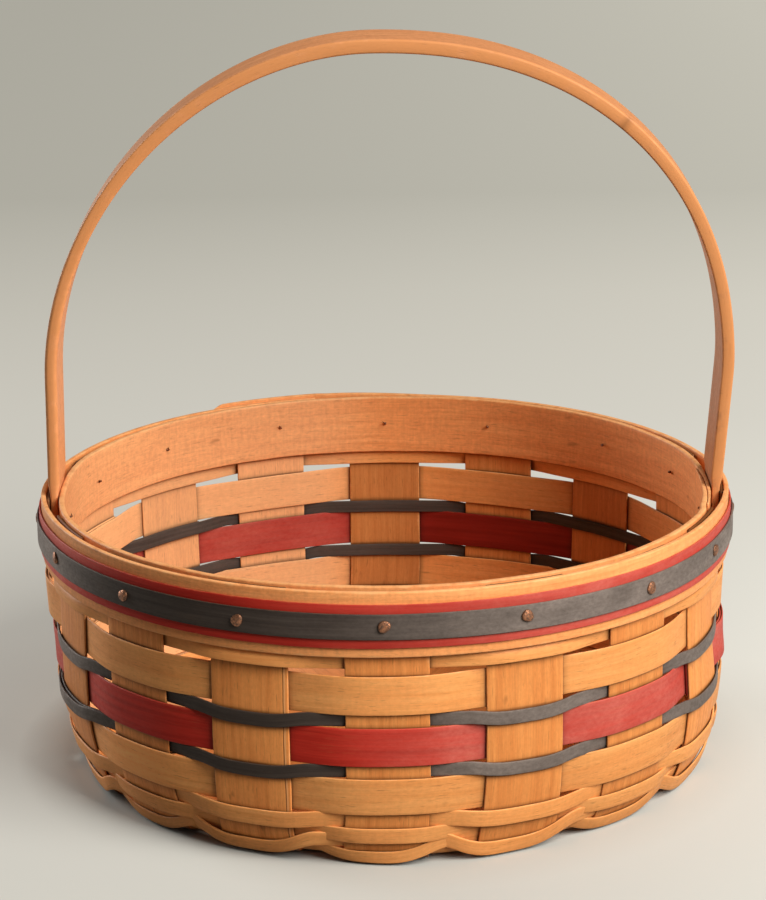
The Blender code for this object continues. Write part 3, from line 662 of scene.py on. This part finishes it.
def wallRow(row):
    # j counts stakes from the row's first one. The row sags where it passes outside a stake, or a little to
    # the left of it, by its slip, and its lower edge stands out by its flare there. Crossing carries it in or
    # out halfway between two stakes, where it passes the rows next to it
    first, half = row["first"], row["width"] / 2
    middle = arcAt(row["low"]) + half

    def sheet(angle, v):
        j = angle / pitch - first
        outside = outward(j, -0.2)
        drop = row["sag"] * outward(j + row["slip"], -0.2 if row["sway"] else 0.2)
        station = middle + v - drop + wander(j, row["uneven"], 0.9, row["seed"])
        z = heightAt(station)
        offset = weave["swing"] * passing(j) + (lapShift(j) if row["lapped"] else 0.0)
        offset = offset + row["crossing"] * np.sin(math.pi * j) ** 2 + wander(j, 0.12, 0.7, row["seed"] + 50)
        offset = offset + row["flare"] * (half - v) / (2 * half) * outside
        # the top row springs out below the band
        offset = offset + row["kick"] * np.clip((wall["bandEdge"] - z) / weave["kickOver"], 0, 1) * outside
        radius = wallRadius(z) + offset + wall["stakeStep"] * np.cos(8 * angle) * rimShare(z)
        return settled(roundAbout(radius + wall["pocketSwell"] * pocketShare(angle) * rimShare(z), angle, z))

    def crevice(angle, v, side):
        # painted shade, as on the stakes: beside the stakes that cross over this face of the row, and under the band
        j = (angle / pitch - first - np.where(side > 0, 0, 1)) / 2
        beyond = np.clip(2 * np.abs(j - np.round(j)) - weave["stakeEdge"], 0, None) * weave["stakePitch"]
        below = np.clip(arcAt(wall["bandEdge"]) - middle - v, 0, None)
        return np.maximum(np.exp(-beyond / dust["beside"]), np.exp(-below / dust["band"]))

    last, tuck = (18.0, weave["stakeEdge"]) if row["lapped"] else (16.0, -weave["buttGap"])
    stations = int(weave["stakePitch"] * last / weave["station"])
    angles = (first + np.linspace(-tuck, last + tuck, stations)) * pitch
    # a little random tone, plus painted light and painted shade at the listed angles
    fresh = 1 + wander(angles, 0.03, 0.5, row["seed"] + 20)
    for at, reach, more in row["fresh"]:
        fresh = fresh + more * hump(degreesFrom(angles, at), 0, reach)
    width = half * (1 + wander(angles, 0.008, 0.35, row["seed"] + 9))

    # chalk and painted sheen, outside and, less, inside
    def chalky(angle, v, side):
        return np.where(side > 0, row["outsideChalk"] * rowChalk(angle), row["insideChalk"] * rowChalk(angle - math.pi))

    def level(angle, v, side):
        # painted shade on the inside: darker all round, most of all to the right of the middle of the rear
        left = smooth((np.mod(np.degrees(angle), 360) - weave["rearFrom"]) / weave["rearOver"])
        inside = 1 - row["insideDark"] * (1 - (1 - weave["rearLeast"]) * left)
        return np.interp(angle, angles, fresh) * np.where(side > 0, 1.0, inside)

    piece = bentStrip(row["name"], sheet, angles, width, weave["thick"], inner=row["inner"], nudge=turnNudge,
                      tone=row["tone"], seam=row["seed"], worn=chalky if row["dyed"] else 0.0, fresh=level,
                      crevice=crevice, dry=dryBack(1.0))
    return install(piece, row["finish"], row["slot"], row["node"])


plain = {"finish": weaverWood, "slot": "weaver_wood", "sag": 0.0, "slip": 0.0, "sway": False, "flare": 0.0,
         "kick": 0.0, "crossing": 0.0, "lapped": True, "uneven": 0.22, "inner": 5, "dyed": False,
         "outsideChalk": 1.0, "insideChalk": 0.1, "insideDark": 0.0,
         "fresh": ((0, 14, 0.14),)}  # painted light where the amount is positive and painted shade where it is negative: at and reach in degrees, and how much
dark = dict(plain, finish=darkDye, dyed=True, slot="dark_dyed_wood", sag=2.2, width=6.5, outsideChalk=0.8)
wide = dict(plain, inner=9)
rows = [
    dict(plain, name="footWeaver4", node="foot_weaver_4", first=11, low=8.0, width=7.0, sag=7.9, slip=0.1, sway=True,
         flare=1.4, crossing=-0.6, uneven=0.0),
    dict(plain, name="footWeaver3", node="foot_weaver_3", first=6, low=9.0, width=8.3, sag=8.8, slip=0.08, sway=True,
         flare=1.6, crossing=0.6, uneven=0.0),
    dict(plain, name="footWeaver2", node="foot_weaver_2", first=3, low=12.9, width=8.0, sag=0.8, sway=True,
         flare=1.0, crossing=-0.4, uneven=0.12),
    dict(plain, name="footWeaver1", node="foot_weaver_1", first=8, low=19.5, width=8.3, sag=1.9, sway=True,
         flare=0.9, crossing=0.4),
    dict(wide, name="lowerWideWeaver", node="lower_wide_weaver", first=9, low=27.2, width=18.0,
         fresh=((0, 13, 0.13), (-45, 12, 0.34), (45, 14, 0.06))),
    dict(dark, name="lowerDarkWeaver", node="lower_dark_weaver", first=12, low=44.9),
    dict(wide, name="redWeaver", node="red_weaver", first=3, low=51.5, width=18.6, finish=redDye,
         slot="red_dyed_wood", dyed=True, insideChalk=0.8, insideDark=0.55),
    dict(dark, name="upperDarkWeaver", node="upper_dark_weaver", first=10, low=69.9),
    dict(wide, name="upperWideWeaver", node="upper_wide_weaver", first=11, low=76.4, width=18.6,
         fresh=((0, 13, 0.12), (-45, 12, -0.02), (157, 14, -0.14), (135, 20, -0.26))),
    dict(wide, name="topWeaver", node="top_weaver", first=2, low=97.7, width=12.7, lapped=False, uneven=0.1,
         kick=1.6, fresh=((24, 16, 0.14), (-24, 13, 0.4))),
]
for layer in range(8):
    crossingSplint(layer)
print("stakes bent")
for i, row in enumerate(rows):
    wallRow(dict(row, seed=3 * i + 1, tone=chance.uniform(-1, 1)))

baseRings = {"outer": (144.6, 133.28, 126.18), "width": (11.0, 6.8, 6.8), "first": (2, 3, 4), "swing": 1.47}
ringTurn = np.linspace(0.003, 15.997, 400)  # once round in stakes, the two ends a hair apart


def baseWeaver(number):
    # A flat ring woven through the base, passing under the splints where a wall row would pass outside, with
    # a little less swing
    first, half = baseRings["first"][number], baseRings["width"][number] / 2
    middle = baseRings["outer"][number] - half

    def sheet(angle, v):
        z = wall["baseLevel"] - baseRings["swing"] * passing(angle / pitch - first)
        return settled(roundAbout(middle + v, angle, z))

    angles = (first + ringTurn) * pitch
    piece = bentStrip(f"baseWeaver{number + 1}", sheet, angles, half, weave["thick"], inner=5, nudge=turnNudge,
                      tone=chance.uniform(-1, 1), seam=60 + number)
    return install(piece, weaverWood, "weaver_wood", f"base_weaver_{number + 1}")


for number in range(3):
    baseWeaver(number)

cornerRing = {"bendAt": 147.2, "bendHeight": 10.19, "bendRadius": 6.85, "flat": 1.8, "half": 5.1, "joint": 8.4}


def cornerWeaver():
    # One more strip laid inside the bend of the stakes, under the foot rows' lowest edges: flat at first,
    # then round a quarter circle's start, r = bendAt + R sin t and z = bendHeight - R cos t
    def sheet(angle, v):
        station = v + cornerRing["half"] - cornerRing["flat"]
        turn = np.clip(station / cornerRing["bendRadius"], 0, None)
        radius = cornerRing["bendAt"] + np.where(station < 0, station, cornerRing["bendRadius"] * np.sin(turn))
        z = cornerRing["bendHeight"] - cornerRing["bendRadius"] * np.cos(turn)
        return settled(roundAbout(radius, angle, z))

    angles = (cornerRing["joint"] + ringTurn) * pitch
    piece = bentStrip("cornerWeaver", sheet, angles, cornerRing["half"], weave["thick"], inner=9, nudge=turnNudge,
                      tone=-0.6, seam=66)
    return install(piece, weaverWood, "weaver_wood")


cornerWeaver()
print("rows woven")


# Rim

rim = {"innerFace": 162.1, "outerFace": 165.4, "innerThick": 2.8, "outerThick": 2.5, "half": 15.4, "innerTop": 136.0,
       "outerTop": 135.5, "lap": 62.0, "tip": 0.8, "climb": 7.0, "innerTip": 96.0, "outerTip": 214.5,
       "gap": 0.3, "innerGive": 2.41, "cut": 4.5, "cutOver": 9.0, "corner": 0.55, "stations": 540,
       "sprung": 1.8, "sprungFrom": 45.6, "sprungOver": 24.0}  # the lapped end stands up, from degrees before its tip


def bandRun(tipDegrees, face):
    # where a band starts and stops, and its lap and climb, all in radians: once round and a lap more
    lap, climb = rim["lap"] / face, rim["climb"] / face
    stop = math.radians(tipDegrees)
    return stop - 2 * math.pi - lap, stop, lap, climb


def bandLayer(angle, run, thick):
    # Distance off the wall and thickness of a band: scarfed thin at both ends, with the last stretch
    # climbing on to the first one
    start, stop, lap, climb = run
    thickness = np.minimum(thick, rim["tip"] + (thick - rim["tip"]) * np.clip(
        np.minimum(angle - start, stop - angle) / lap, 0, 1))
    over = np.clip((angle - stop + lap) / lap, 0, 1)
    rise = (rim["tip"] + rim["gap"]) * smooth((angle - stop + lap + climb) / climb)
    return rise + over * (thick - rim["tip"]), thickness


innerRun = bandRun(rim["innerTip"], rim["innerFace"])
outerRun = bandRun(rim["outerTip"], rim["outerFace"])


def innerBandFace(angle):
    # outer face of the inner band, which gives way to the handle's feet, less its lap
    return rim["innerFace"] - rim["innerGive"] * pocketShare(angle) - bandLayer(angle, innerRun, rim["innerThick"])[0]


def rubbedTip(run, face, reach, over, most):
    # a band's last bit before its tip, rubbed dark
    return lambda angle, v, side: most * smooth((reach - (run[1] - angle) * face) / over)


def innerBand():
    def sheet(angle, v):
        radius = innerBandFace(angle) - bandLayer(angle, innerRun, rim["innerThick"])[1] / 2
        return roundAbout(radius, angle, rim["innerTop"] - rim["half"] + v + wander(angle, 0.22, 0.2, 71))

    angles = np.linspace(innerRun[0], innerRun[1], rim["stations"])
    thick = bandLayer(angles, innerRun, rim["innerThick"])[1]
    piece = bentStrip("innerBand", sheet, angles, rim["half"], thick, inner=11, corner=rim["corner"], nudge=turnNudge,
                      tone=0.1, seam=71, worn=rubbedTip(innerRun, rim["innerFace"], 0.744, 1.0, 0.7), dry=dryBack(0.6))
    return install(piece, bandWood, "splint_wood", "inner_band")


def outerBand():
    # The lap's tip has its upper corner cut off over the last few millimetres
    def cut(angle):
        return rim["cut"] * np.clip(1 - (outerRun[1] - angle) * rim["outerFace"] / rim["cutOver"], 0, 1)

    def sheet(angle, v):
        rise, thickness = bandLayer(angle, outerRun, rim["outerThick"])
        radius = rim["outerFace"] + wall["pocketSwell"] * pocketShare(angle) + rise + thickness / 2
        sprung = rim["sprung"] * smooth((np.degrees(angle - outerRun[1]) + rim["sprungFrom"]) / rim["sprungOver"])
        z = rim["outerTop"] - rim["half"] - cut(angle) / 2 + v + wander(angle, 0.1, 0.5, 72) + sprung
        return roundAbout(radius, angle, z)

    angles = np.linspace(outerRun[0], outerRun[1], rim["stations"])
    thick = bandLayer(angles, outerRun, rim["outerThick"])[1]
    piece = bentStrip("outerBand", sheet, angles, rim["half"] - cut(angles) / 2, thick, inner=11, corner=rim["corner"],
                      nudge=turnNudge, tone=0.3, seam=72, worn=rubbedTip(outerRun, rim["outerFace"], 1.6, 1.6, 1.0),
                      fresh=1 + 0.2 * hump(degreesFrom(angles), 22, 56))  # painted light: paler to the right of the front
    return install(piece, bandWood, "splint_wood", "outer_band")


innerBand()
outerBand()

trim = {"thick": 0.9, "drop": 16.2, "redHalf": 10.3, "blueHalf": 6.0, "buttHalf": 0.3}


def trimFace(angle, layer):
    # inner face of a trim hoop, riding over the outer band's lap and the swell at the handle's feet
    start, stop, lap, climb = outerRun
    past = np.mod(angle - stop + math.pi, 2 * math.pi) - math.pi
    rise = np.interp(past, [-lap - climb, -lap, 0.0, climb], [0, 1, 1, 0]) * (rim["tip"] + rim["gap"])
    band = rim["outerFace"] + rim["outerThick"] + wall["pocketSwell"] * pocketShare(angle)
    return band + rise + rim["gap"] + layer * (trim["thick"] + rim["gap"])


def trimHoop(name, layer, half, finish, slotName, nodeName, tone):
    def sheet(angle, v):
        z = wall["top"] - trim["drop"] + v + wander(angle, 0.16, 0.4, 80 + layer)
        return roundAbout(trimFace(angle, layer) + trim["thick"] / 2, angle, z)

    gap = trim["buttHalf"] / rim["outerFace"]
    angles = np.linspace(gap - math.pi, math.pi - gap, 500)
    width = half + wander(angles, 0.14, 0.3, 90 + layer)
    piece = bentStrip(name, sheet, angles, width, trim["thick"], inner=7, nudge=turnNudge, tone=tone, seam=80 + layer,
                      worn=lambda angle, v, side: trimChalk(angle))
    return install(piece, finish, slotName, nodeName)


trimHoop("redTrim", 0, trim["redHalf"], redDye, "red_dyed_wood", "red_trim", -0.2)
trimHoop("blueGreyTrim", 1, trim["blueHalf"], darkDye, "dark_dyed_wood", "blue_grey_trim", 0.4)
print("rim banded")


# Handle

grip = {"foot": 161.89, "rise": 218.1, "depth": 24.6, "taper": 5.5, "lean": -3.5, "half": 16.9,
        "footThick": 3.8, "legThick": 5.6, "topThick": 6.7, "knotAt": (114.7, 179.8), "knot": 1.9, "knotDark": 0.45,
        "knotEdge": 14.0, "round": 0.6, "sharper": 0.28}
# the handle's levels: paler on the top, painted light inside the left leg, painted shade inside the right leg
bleach = {"top": 0.16, "under": 0.05, "left": 0.22, "right": 0.36}
leftSide = {"spread": -1.7, "spring": 55.0, "squareness": 1.9}
rightSide = {"spread": 6.2, "spring": 62.0, "squareness": 2.23}


def handleSide(side):
    # Straight leg, then a superellipse: x = half cos^p t and z = spring + (rise - spring) sin^p t, p = 2 / squareness
    legZ = np.linspace(-grip["depth"], side["spring"], 90)
    legX = grip["foot"] + side["spread"] * np.clip(legZ, 0, None) / side["spring"]
    t = np.linspace(0, math.pi / 2, 500)
    power = 2 / side["squareness"]
    archX = (grip["foot"] + side["spread"]) * np.cos(t) ** power
    archZ = side["spring"] + (grip["rise"] - side["spring"]) * np.sin(t) ** power
    return np.concatenate([legX[:-1], archX]), np.concatenate([legZ[:-1], archZ])


def handleLine():
    # both halves end to end, leaning a little to the left with height
    leftX, leftZ = handleSide(leftSide)
    rightX, rightZ = handleSide(rightSide)
    x, z = np.concatenate([-leftX, rightX[-2::-1]]), np.concatenate([leftZ, rightZ[-2::-1]])
    return x + grip["lean"] * np.clip(z, 0, None) / grip["rise"], z


def handle():
    x, z = handleLine()
    arc = np.concatenate([[0.0], np.cumsum(np.hypot(np.diff(x), np.diff(z)))])
    even = np.linspace(0, arc[-1], 420)
    soft = np.ones(9) / 9  # evens out the join of leg and arch
    line = [np.convolve(np.pad(np.interp(even, arc, c), 4, mode="reflect", reflect_type="odd"), soft, "valid")
            for c in (x, z)]

    def sheet(s, v):
        height = np.interp(s, even, line[1])
        shift = wander(s, 0.25, 60.0, 95) * np.clip(height / 60.0, 0, 1)
        return np.stack([np.interp(s, even, line[0]), v + shift, height + wall["top"]], axis=-1)

    knotAt = even[np.argmin(np.hypot(line[0] - grip["knotAt"][0], line[1] - grip["knotAt"][1]))]

    def knot(s, v, side):
        # a dark knot at the front edge
        return grip["knotDark"] * hump(s, knotAt, grip["knot"]) * smooth((-v - grip["knotEdge"]) / 2.0)

    def bleached(s, v, side):
        # paler on the top, painted light down the inside of the left leg, and painted shade inside the right leg
        share = s / even[-1]
        top = np.where(side > 0, bleach["top"], bleach["under"]) * hump(share, 0.5, 0.3)
        inside = bleach["left"] * (1 - smooth((share - 0.2) / 0.3)) - bleach["right"] * smooth((share - 0.6) / 0.3)
        return 1 + top + np.where(side < 0, inside, 0.0)

    height = line[1]
    leg = grip["legThick"] + (grip["topThick"] - grip["legThick"]) * np.clip(height, 0, None) / grip["rise"]
    thick = grip["footThick"] + (leg - grip["footThick"]) * smooth(height / grip["taper"])
    # the left leg's corners are worn the roundest
    corner = grip["round"] - grip["sharper"] * smooth((even / even[-1] - 0.15) / 0.15)
    piece = bentStrip("handle", sheet, even[1:-1], grip["half"], thick[1:-1], inner=9, corner=corner[1:-1], nudge=1.0,
                      tone=0.2, seam=95, fresh=bleached, crevice=knot)
    return install(piece, handleWood, "splint_wood", "handle")


handle()
print("handle bent")


# Tacks

tackSize = {"head": 2.85, "dome": 1.3, "side": 0.18, "lobes": (0.07, 0.05), "dent": 0.22, "sides": 20, "rings": 6,
            "shank": 0.55, "clinch": 3.2, "proud": 0.05, "jitter": 0.6, "ringRadius": 170.0}
driven = {0: (-1.1, 0.6), 1: (-2.5, 0.8), 2: (1.2, -0.2), 3: (-3.0, 0.7), 15: (-1.7, -0.2), 14: (0.3, -0.2),
          13: (2.4, 0.7), 5: (-0.6, 1.2), 6: (-5.2, 2.0), 7: (5.2, 1.6), 8: (-0.9, 1.4), 9: (-5.5, 2.6),
          10: (4.0, 2.2)}  # off the stake's middle, sideways and up


def tackHead(luck):
    # A dome whose radius goes as sin t and height as cos t to the 0.7, dented unevenly by the hammer, with a
    # short straight side below. Here x points out of the wall, y along it and z up
    around = np.linspace(0, 2 * math.pi, tackSize["sides"] + 1)[:-1]
    t = np.linspace(0, math.pi / 2, tackSize["rings"] + 1)[1:]
    lobes = 1 + sum(size * np.sin(n * around + luck.uniform(0, 6)) for n, size in enumerate(tackSize["lobes"], 2))
    reach = tackSize["head"] * np.sin(t)[:, None] * lobes
    dent = 1 + tackSize["dent"] * np.sin(around + luck.uniform(0, 6)) * np.sin(t)[:, None]
    rise = tackSize["dome"] * (tackSize["side"] + (1 - tackSize["side"]) * np.cos(t)[:, None] ** 0.7) * dent
    dome = np.stack([np.broadcast_to(rise, reach.shape), reach * np.cos(around), reach * np.sin(around)], -1)
    foot = dome[-1] * np.array([0.0, 1.0, 1.0])
    points = np.concatenate([[[tackSize["dome"], 0, 0]], dome.reshape(-1, 3), foot, [[0.0, 0, 0]]])
    rings, count = len(t) + 1, len(around)
    i, j = np.meshgrid(np.arange(rings - 1), np.arange(count), indexing="ij")
    a, b = 1 + i * count + j, 1 + i * count + (j + 1) % count
    skin = np.stack([a, a + count, b + count, b], -1).reshape(-1, 4)
    j, k, last = np.arange(count), (np.arange(count) + 1) % count, 1 + (rings - 1) * count
    tip = np.stack([np.zeros(count, int), 1 + j, 1 + k], -1)
    under = np.stack([np.full(count, len(points) - 1), last + k, last + j], -1)
    return points, np.concatenate([tip, under, skin[:, [0, 1, 2]], skin[:, [0, 2, 3]]])


def tackShank(luck, depth):
    # A square spike carried straight in by depth, then bent over against the inner band and tapered to a point
    lean, clinch = luck.uniform(-0.9, 0.9), tackSize["clinch"]
    path = np.array([[0.3, 0, 0], [0.1 - depth, 0, 0], [-0.35 - depth, 0.6 * math.sin(lean), 0.5],
                     [-0.3 - depth, clinch * math.sin(lean), clinch * 0.5 * math.cos(lean)]])
    size = np.array([1.0, 1.0, 0.85, 0.15])[:, None, None] * tackSize["shank"]
    corners = np.array([[-1, -1], [1, -1], [1, 1], [-1, 1]])
    straight = np.array([[0, 1, 0], [0, 0, 1]])
    frames = [straight, straight, np.array([[0.7, 0.7, 0], [0.5, 0, 0.8]]), np.array([[1, 0, 0], [0, -0.5, 0.8]])]
    points = np.concatenate([p + (corners @ f) * s for p, f, s in zip(path, frames, size)])
    ring, j = np.repeat(np.arange(3) * 4, 4), np.tile(np.arange(4), 3)
    a, b = ring + j, ring + (j + 1) % 4
    ends = [[0, 2, 1], [0, 3, 2], [12, 13, 14], [12, 14, 15]]
    return points, np.concatenate([np.stack([a, b, b + 4], -1), np.stack([a, b + 4, a + 4], -1), ends])


def tack(stake):
    luck = np.random.default_rng(200 + stake)
    aside, above = driven.get(stake, luck.uniform(-1, 1, 2) * tackSize["jitter"])
    angle = np.array(stake * pitch + aside / tackSize["ringRadius"])
    height = wall["top"] - trim["drop"] + above
    out, sideways = np.array([np.sin(angle), -np.cos(angle), 0.0]), np.array([np.cos(angle), np.sin(angle), 0.0])
    face = float(trimFace(angle, 1)) + trim["thick"] + tackSize["proud"]
    back = float(innerBandFace(angle) - bandLayer(angle, innerRun, rim["innerThick"])[1])
    head, headFaces = tackHead(luck)
    shank, shankFaces = tackShank(luck, face - back)
    local = np.concatenate([head, shank])
    points = (face + local[:, :1]) * out + local[:, 1:2] * sideways
    points = points + (local[:, 2:] + height) * np.array([0, 0, 1.0])
    piece = meshPiece(f"tack{stake + 1}", points, np.concatenate([headFaces, shankFaces + len(head)]), {})
    tidyNormals(piece.data)
    return install(piece, copper, "copper", f"tack_{stake + 1}")


def tidyNormals(mesh):
    work = bmesh.new()
    work.from_mesh(mesh)
    bmesh.ops.recalc_face_normals(work, faces=work.faces)
    work.to_mesh(mesh)
    work.free()


for stake in range(16):
    tack(stake)
print("tacks driven")


# Floor, light and camera

floorLook = {"half": 8.0, "near": tint(230, 225, 213), "far": tint(183, 180, 168), "lit": tint(207, 208, 203),
             "bounce": tint(124, 119, 110), "farFrom": 0.15, "farTo": 1.4, "slant": (0.86, 1.16),
             "side": (-0.075, 0.09), "halfEven": (0.16, 0.187, 0.4), "allEven": (0.2, 1.0, 0.6)}


def paperFinish(name, look):
    # The paper takes the lamps' light close to the basket, and further out it is evened out: there the lens,
    # and anything glossy or clear, sees the paper's colour, painted darker towards the back and to the left as the
    # lamps' light falls off. Even rises by its share over each of two reaches
    finish, tree, shader = newFinish(name)
    here = node(tree, "ShaderNodeTexCoord").outputs["Object"]
    where = node(tree, "ShaderNodeSeparateXYZ", {0: here}).outputs
    reach = node(tree, "ShaderNodeVectorMath", {0: here}, operation="LENGTH").outputs["Value"]
    paper = blendColours(tree, spread(tree, where["Y"], look["farFrom"], look["farTo"]), look["near"], look["far"])
    slant = maths(tree, "POWER", spread(tree, where["X"], -0.5, 0.5), 1.5)
    paper = dimmed(tree, paper, spread(tree, slant, 0.0, 1.0, *look["slant"]))
    even = plus(tree, *(spread(tree, reach, start, stop, 0.0, share)
                        for start, stop, share in (look["halfEven"], look["allEven"])))
    path = node(tree, "ShaderNodeLightPath").outputs
    seen = maths(tree, "ADD", plus(tree, path["Is Camera Ray"], path["Is Glossy Ray"]),
                 path["Is Transmission Ray"], clamp=True)
    even = times(tree, even, seen)
    ground = blendColours(tree, seen, look["bounce"], look["lit"])
    # close by, painted shade makes the paper a little duller to the left and front, and painted light makes it paler to
    # the right
    side = spread(tree, where["X"], 0.02, 0.22, *look["side"])
    side = plus(tree, times(tree, side, spread(tree, where["Y"], 0.1, 0.6, 1.0, 0.0)), 1.0)
    black = (0.0, 0.0, 0.0, 1.0)
    tree.links.new(blendColours(tree, even, dimmed(tree, ground, side), black), shader.inputs["Base Color"])
    tree.links.new(blendColours(tree, even, black, dimmed(tree, paper, side)), shader.inputs["Emission Color"])
    shader.inputs["Emission Strength"].default_value = 1.0
    shader.inputs["Roughness"].default_value = 0.9
    shader.inputs["Specular IOR Level"].default_value = 0.1
    return finish


half = floorLook["half"]
floorMesh = bpy.data.meshes.new("floor")
floorMesh.from_pydata([(-half, -half, 0), (half, -half, 0), (half, half, 0), (-half, half, 0)], [], [(0, 1, 2, 3)])
floorMesh.materials.append(paperFinish("pale studio paper", floorLook))
floor = bpy.data.objects.new("floor", floorMesh)
scene.collection.objects.link(floor)

lamps = {"key": {"azimuth": 48.5, "elevation": 36.5, "distance": 2.4, "size": 1.5, "power": 88.0,
                 "colour": (1.0, 0.965, 0.9)},
         "back": {"azimuth": -126.0, "elevation": 15.0, "distance": 3.0, "size": 1.4, "power": 62.0,
                  "colour": (1.0, 0.98, 0.95)}}
lampAim = Vector((0, 0, 0.12))
for name, lamp in lamps.items():
    light = bpy.data.lights.new(name, "AREA")
    light.energy, light.size, light.color = lamp["power"], lamp["size"], lamp["colour"]
    holder = bpy.data.objects.new(name, light)
    azimuth, elevation = math.radians(lamp["azimuth"]), math.radians(lamp["elevation"])
    away = Vector((math.sin(azimuth) * math.cos(elevation), -math.cos(azimuth) * math.cos(elevation),
                   math.sin(elevation)))
    holder.location = away * lamp["distance"] + lampAim
    holder.rotation_euler = away.to_track_quat("Z", "Y").to_euler()
    scene.collection.objects.link(holder)

world = bpy.data.worlds.new("studio")
scene.world = world
world.use_nodes = True
background = world.node_tree.nodes["Background"].inputs
background["Color"].default_value = (1.0, 0.99, 0.96, 1.0)
background["Strength"].default_value = 0.05
scene.view_settings.view_transform = "Standard"

view = {"focal": 3007.5, "elevation": 16.19, "distance": 1.4826, "roll": -0.7125,
        "aim": Vector((-0.0006, 0.0, 0.1522)), "imageWidth": 766}  # focal length and width in pixels
elevation, roll = math.radians(view["elevation"]), math.radians(view["roll"])
eye = view["aim"] + Vector((0, -math.cos(elevation), math.sin(elevation))) * view["distance"]
forward = (view["aim"] - eye).normalized()
level = Vector((1, 0, 0))
upright = level.cross(forward)
camX = math.cos(roll) * level + math.sin(roll) * upright
camY = -math.sin(roll) * level + math.cos(roll) * upright
lens = bpy.data.cameras.new("camera")
lens.sensor_fit, lens.sensor_width = "HORIZONTAL", 36.0
lens.lens = view["focal"] / view["imageWidth"] * lens.sensor_width
camera = bpy.data.objects.new("camera", lens)
camera.matrix_world = Matrix(((camX.x, camY.x, -forward.x, eye.x), (camX.y, camY.y, -forward.y, eye.y),
                              (camX.z, camY.z, -forward.z, eye.z), (0, 0, 0, 1)))
scene.collection.objects.link(camera)
scene.camera = camera
print("floor, lamps and camera set")
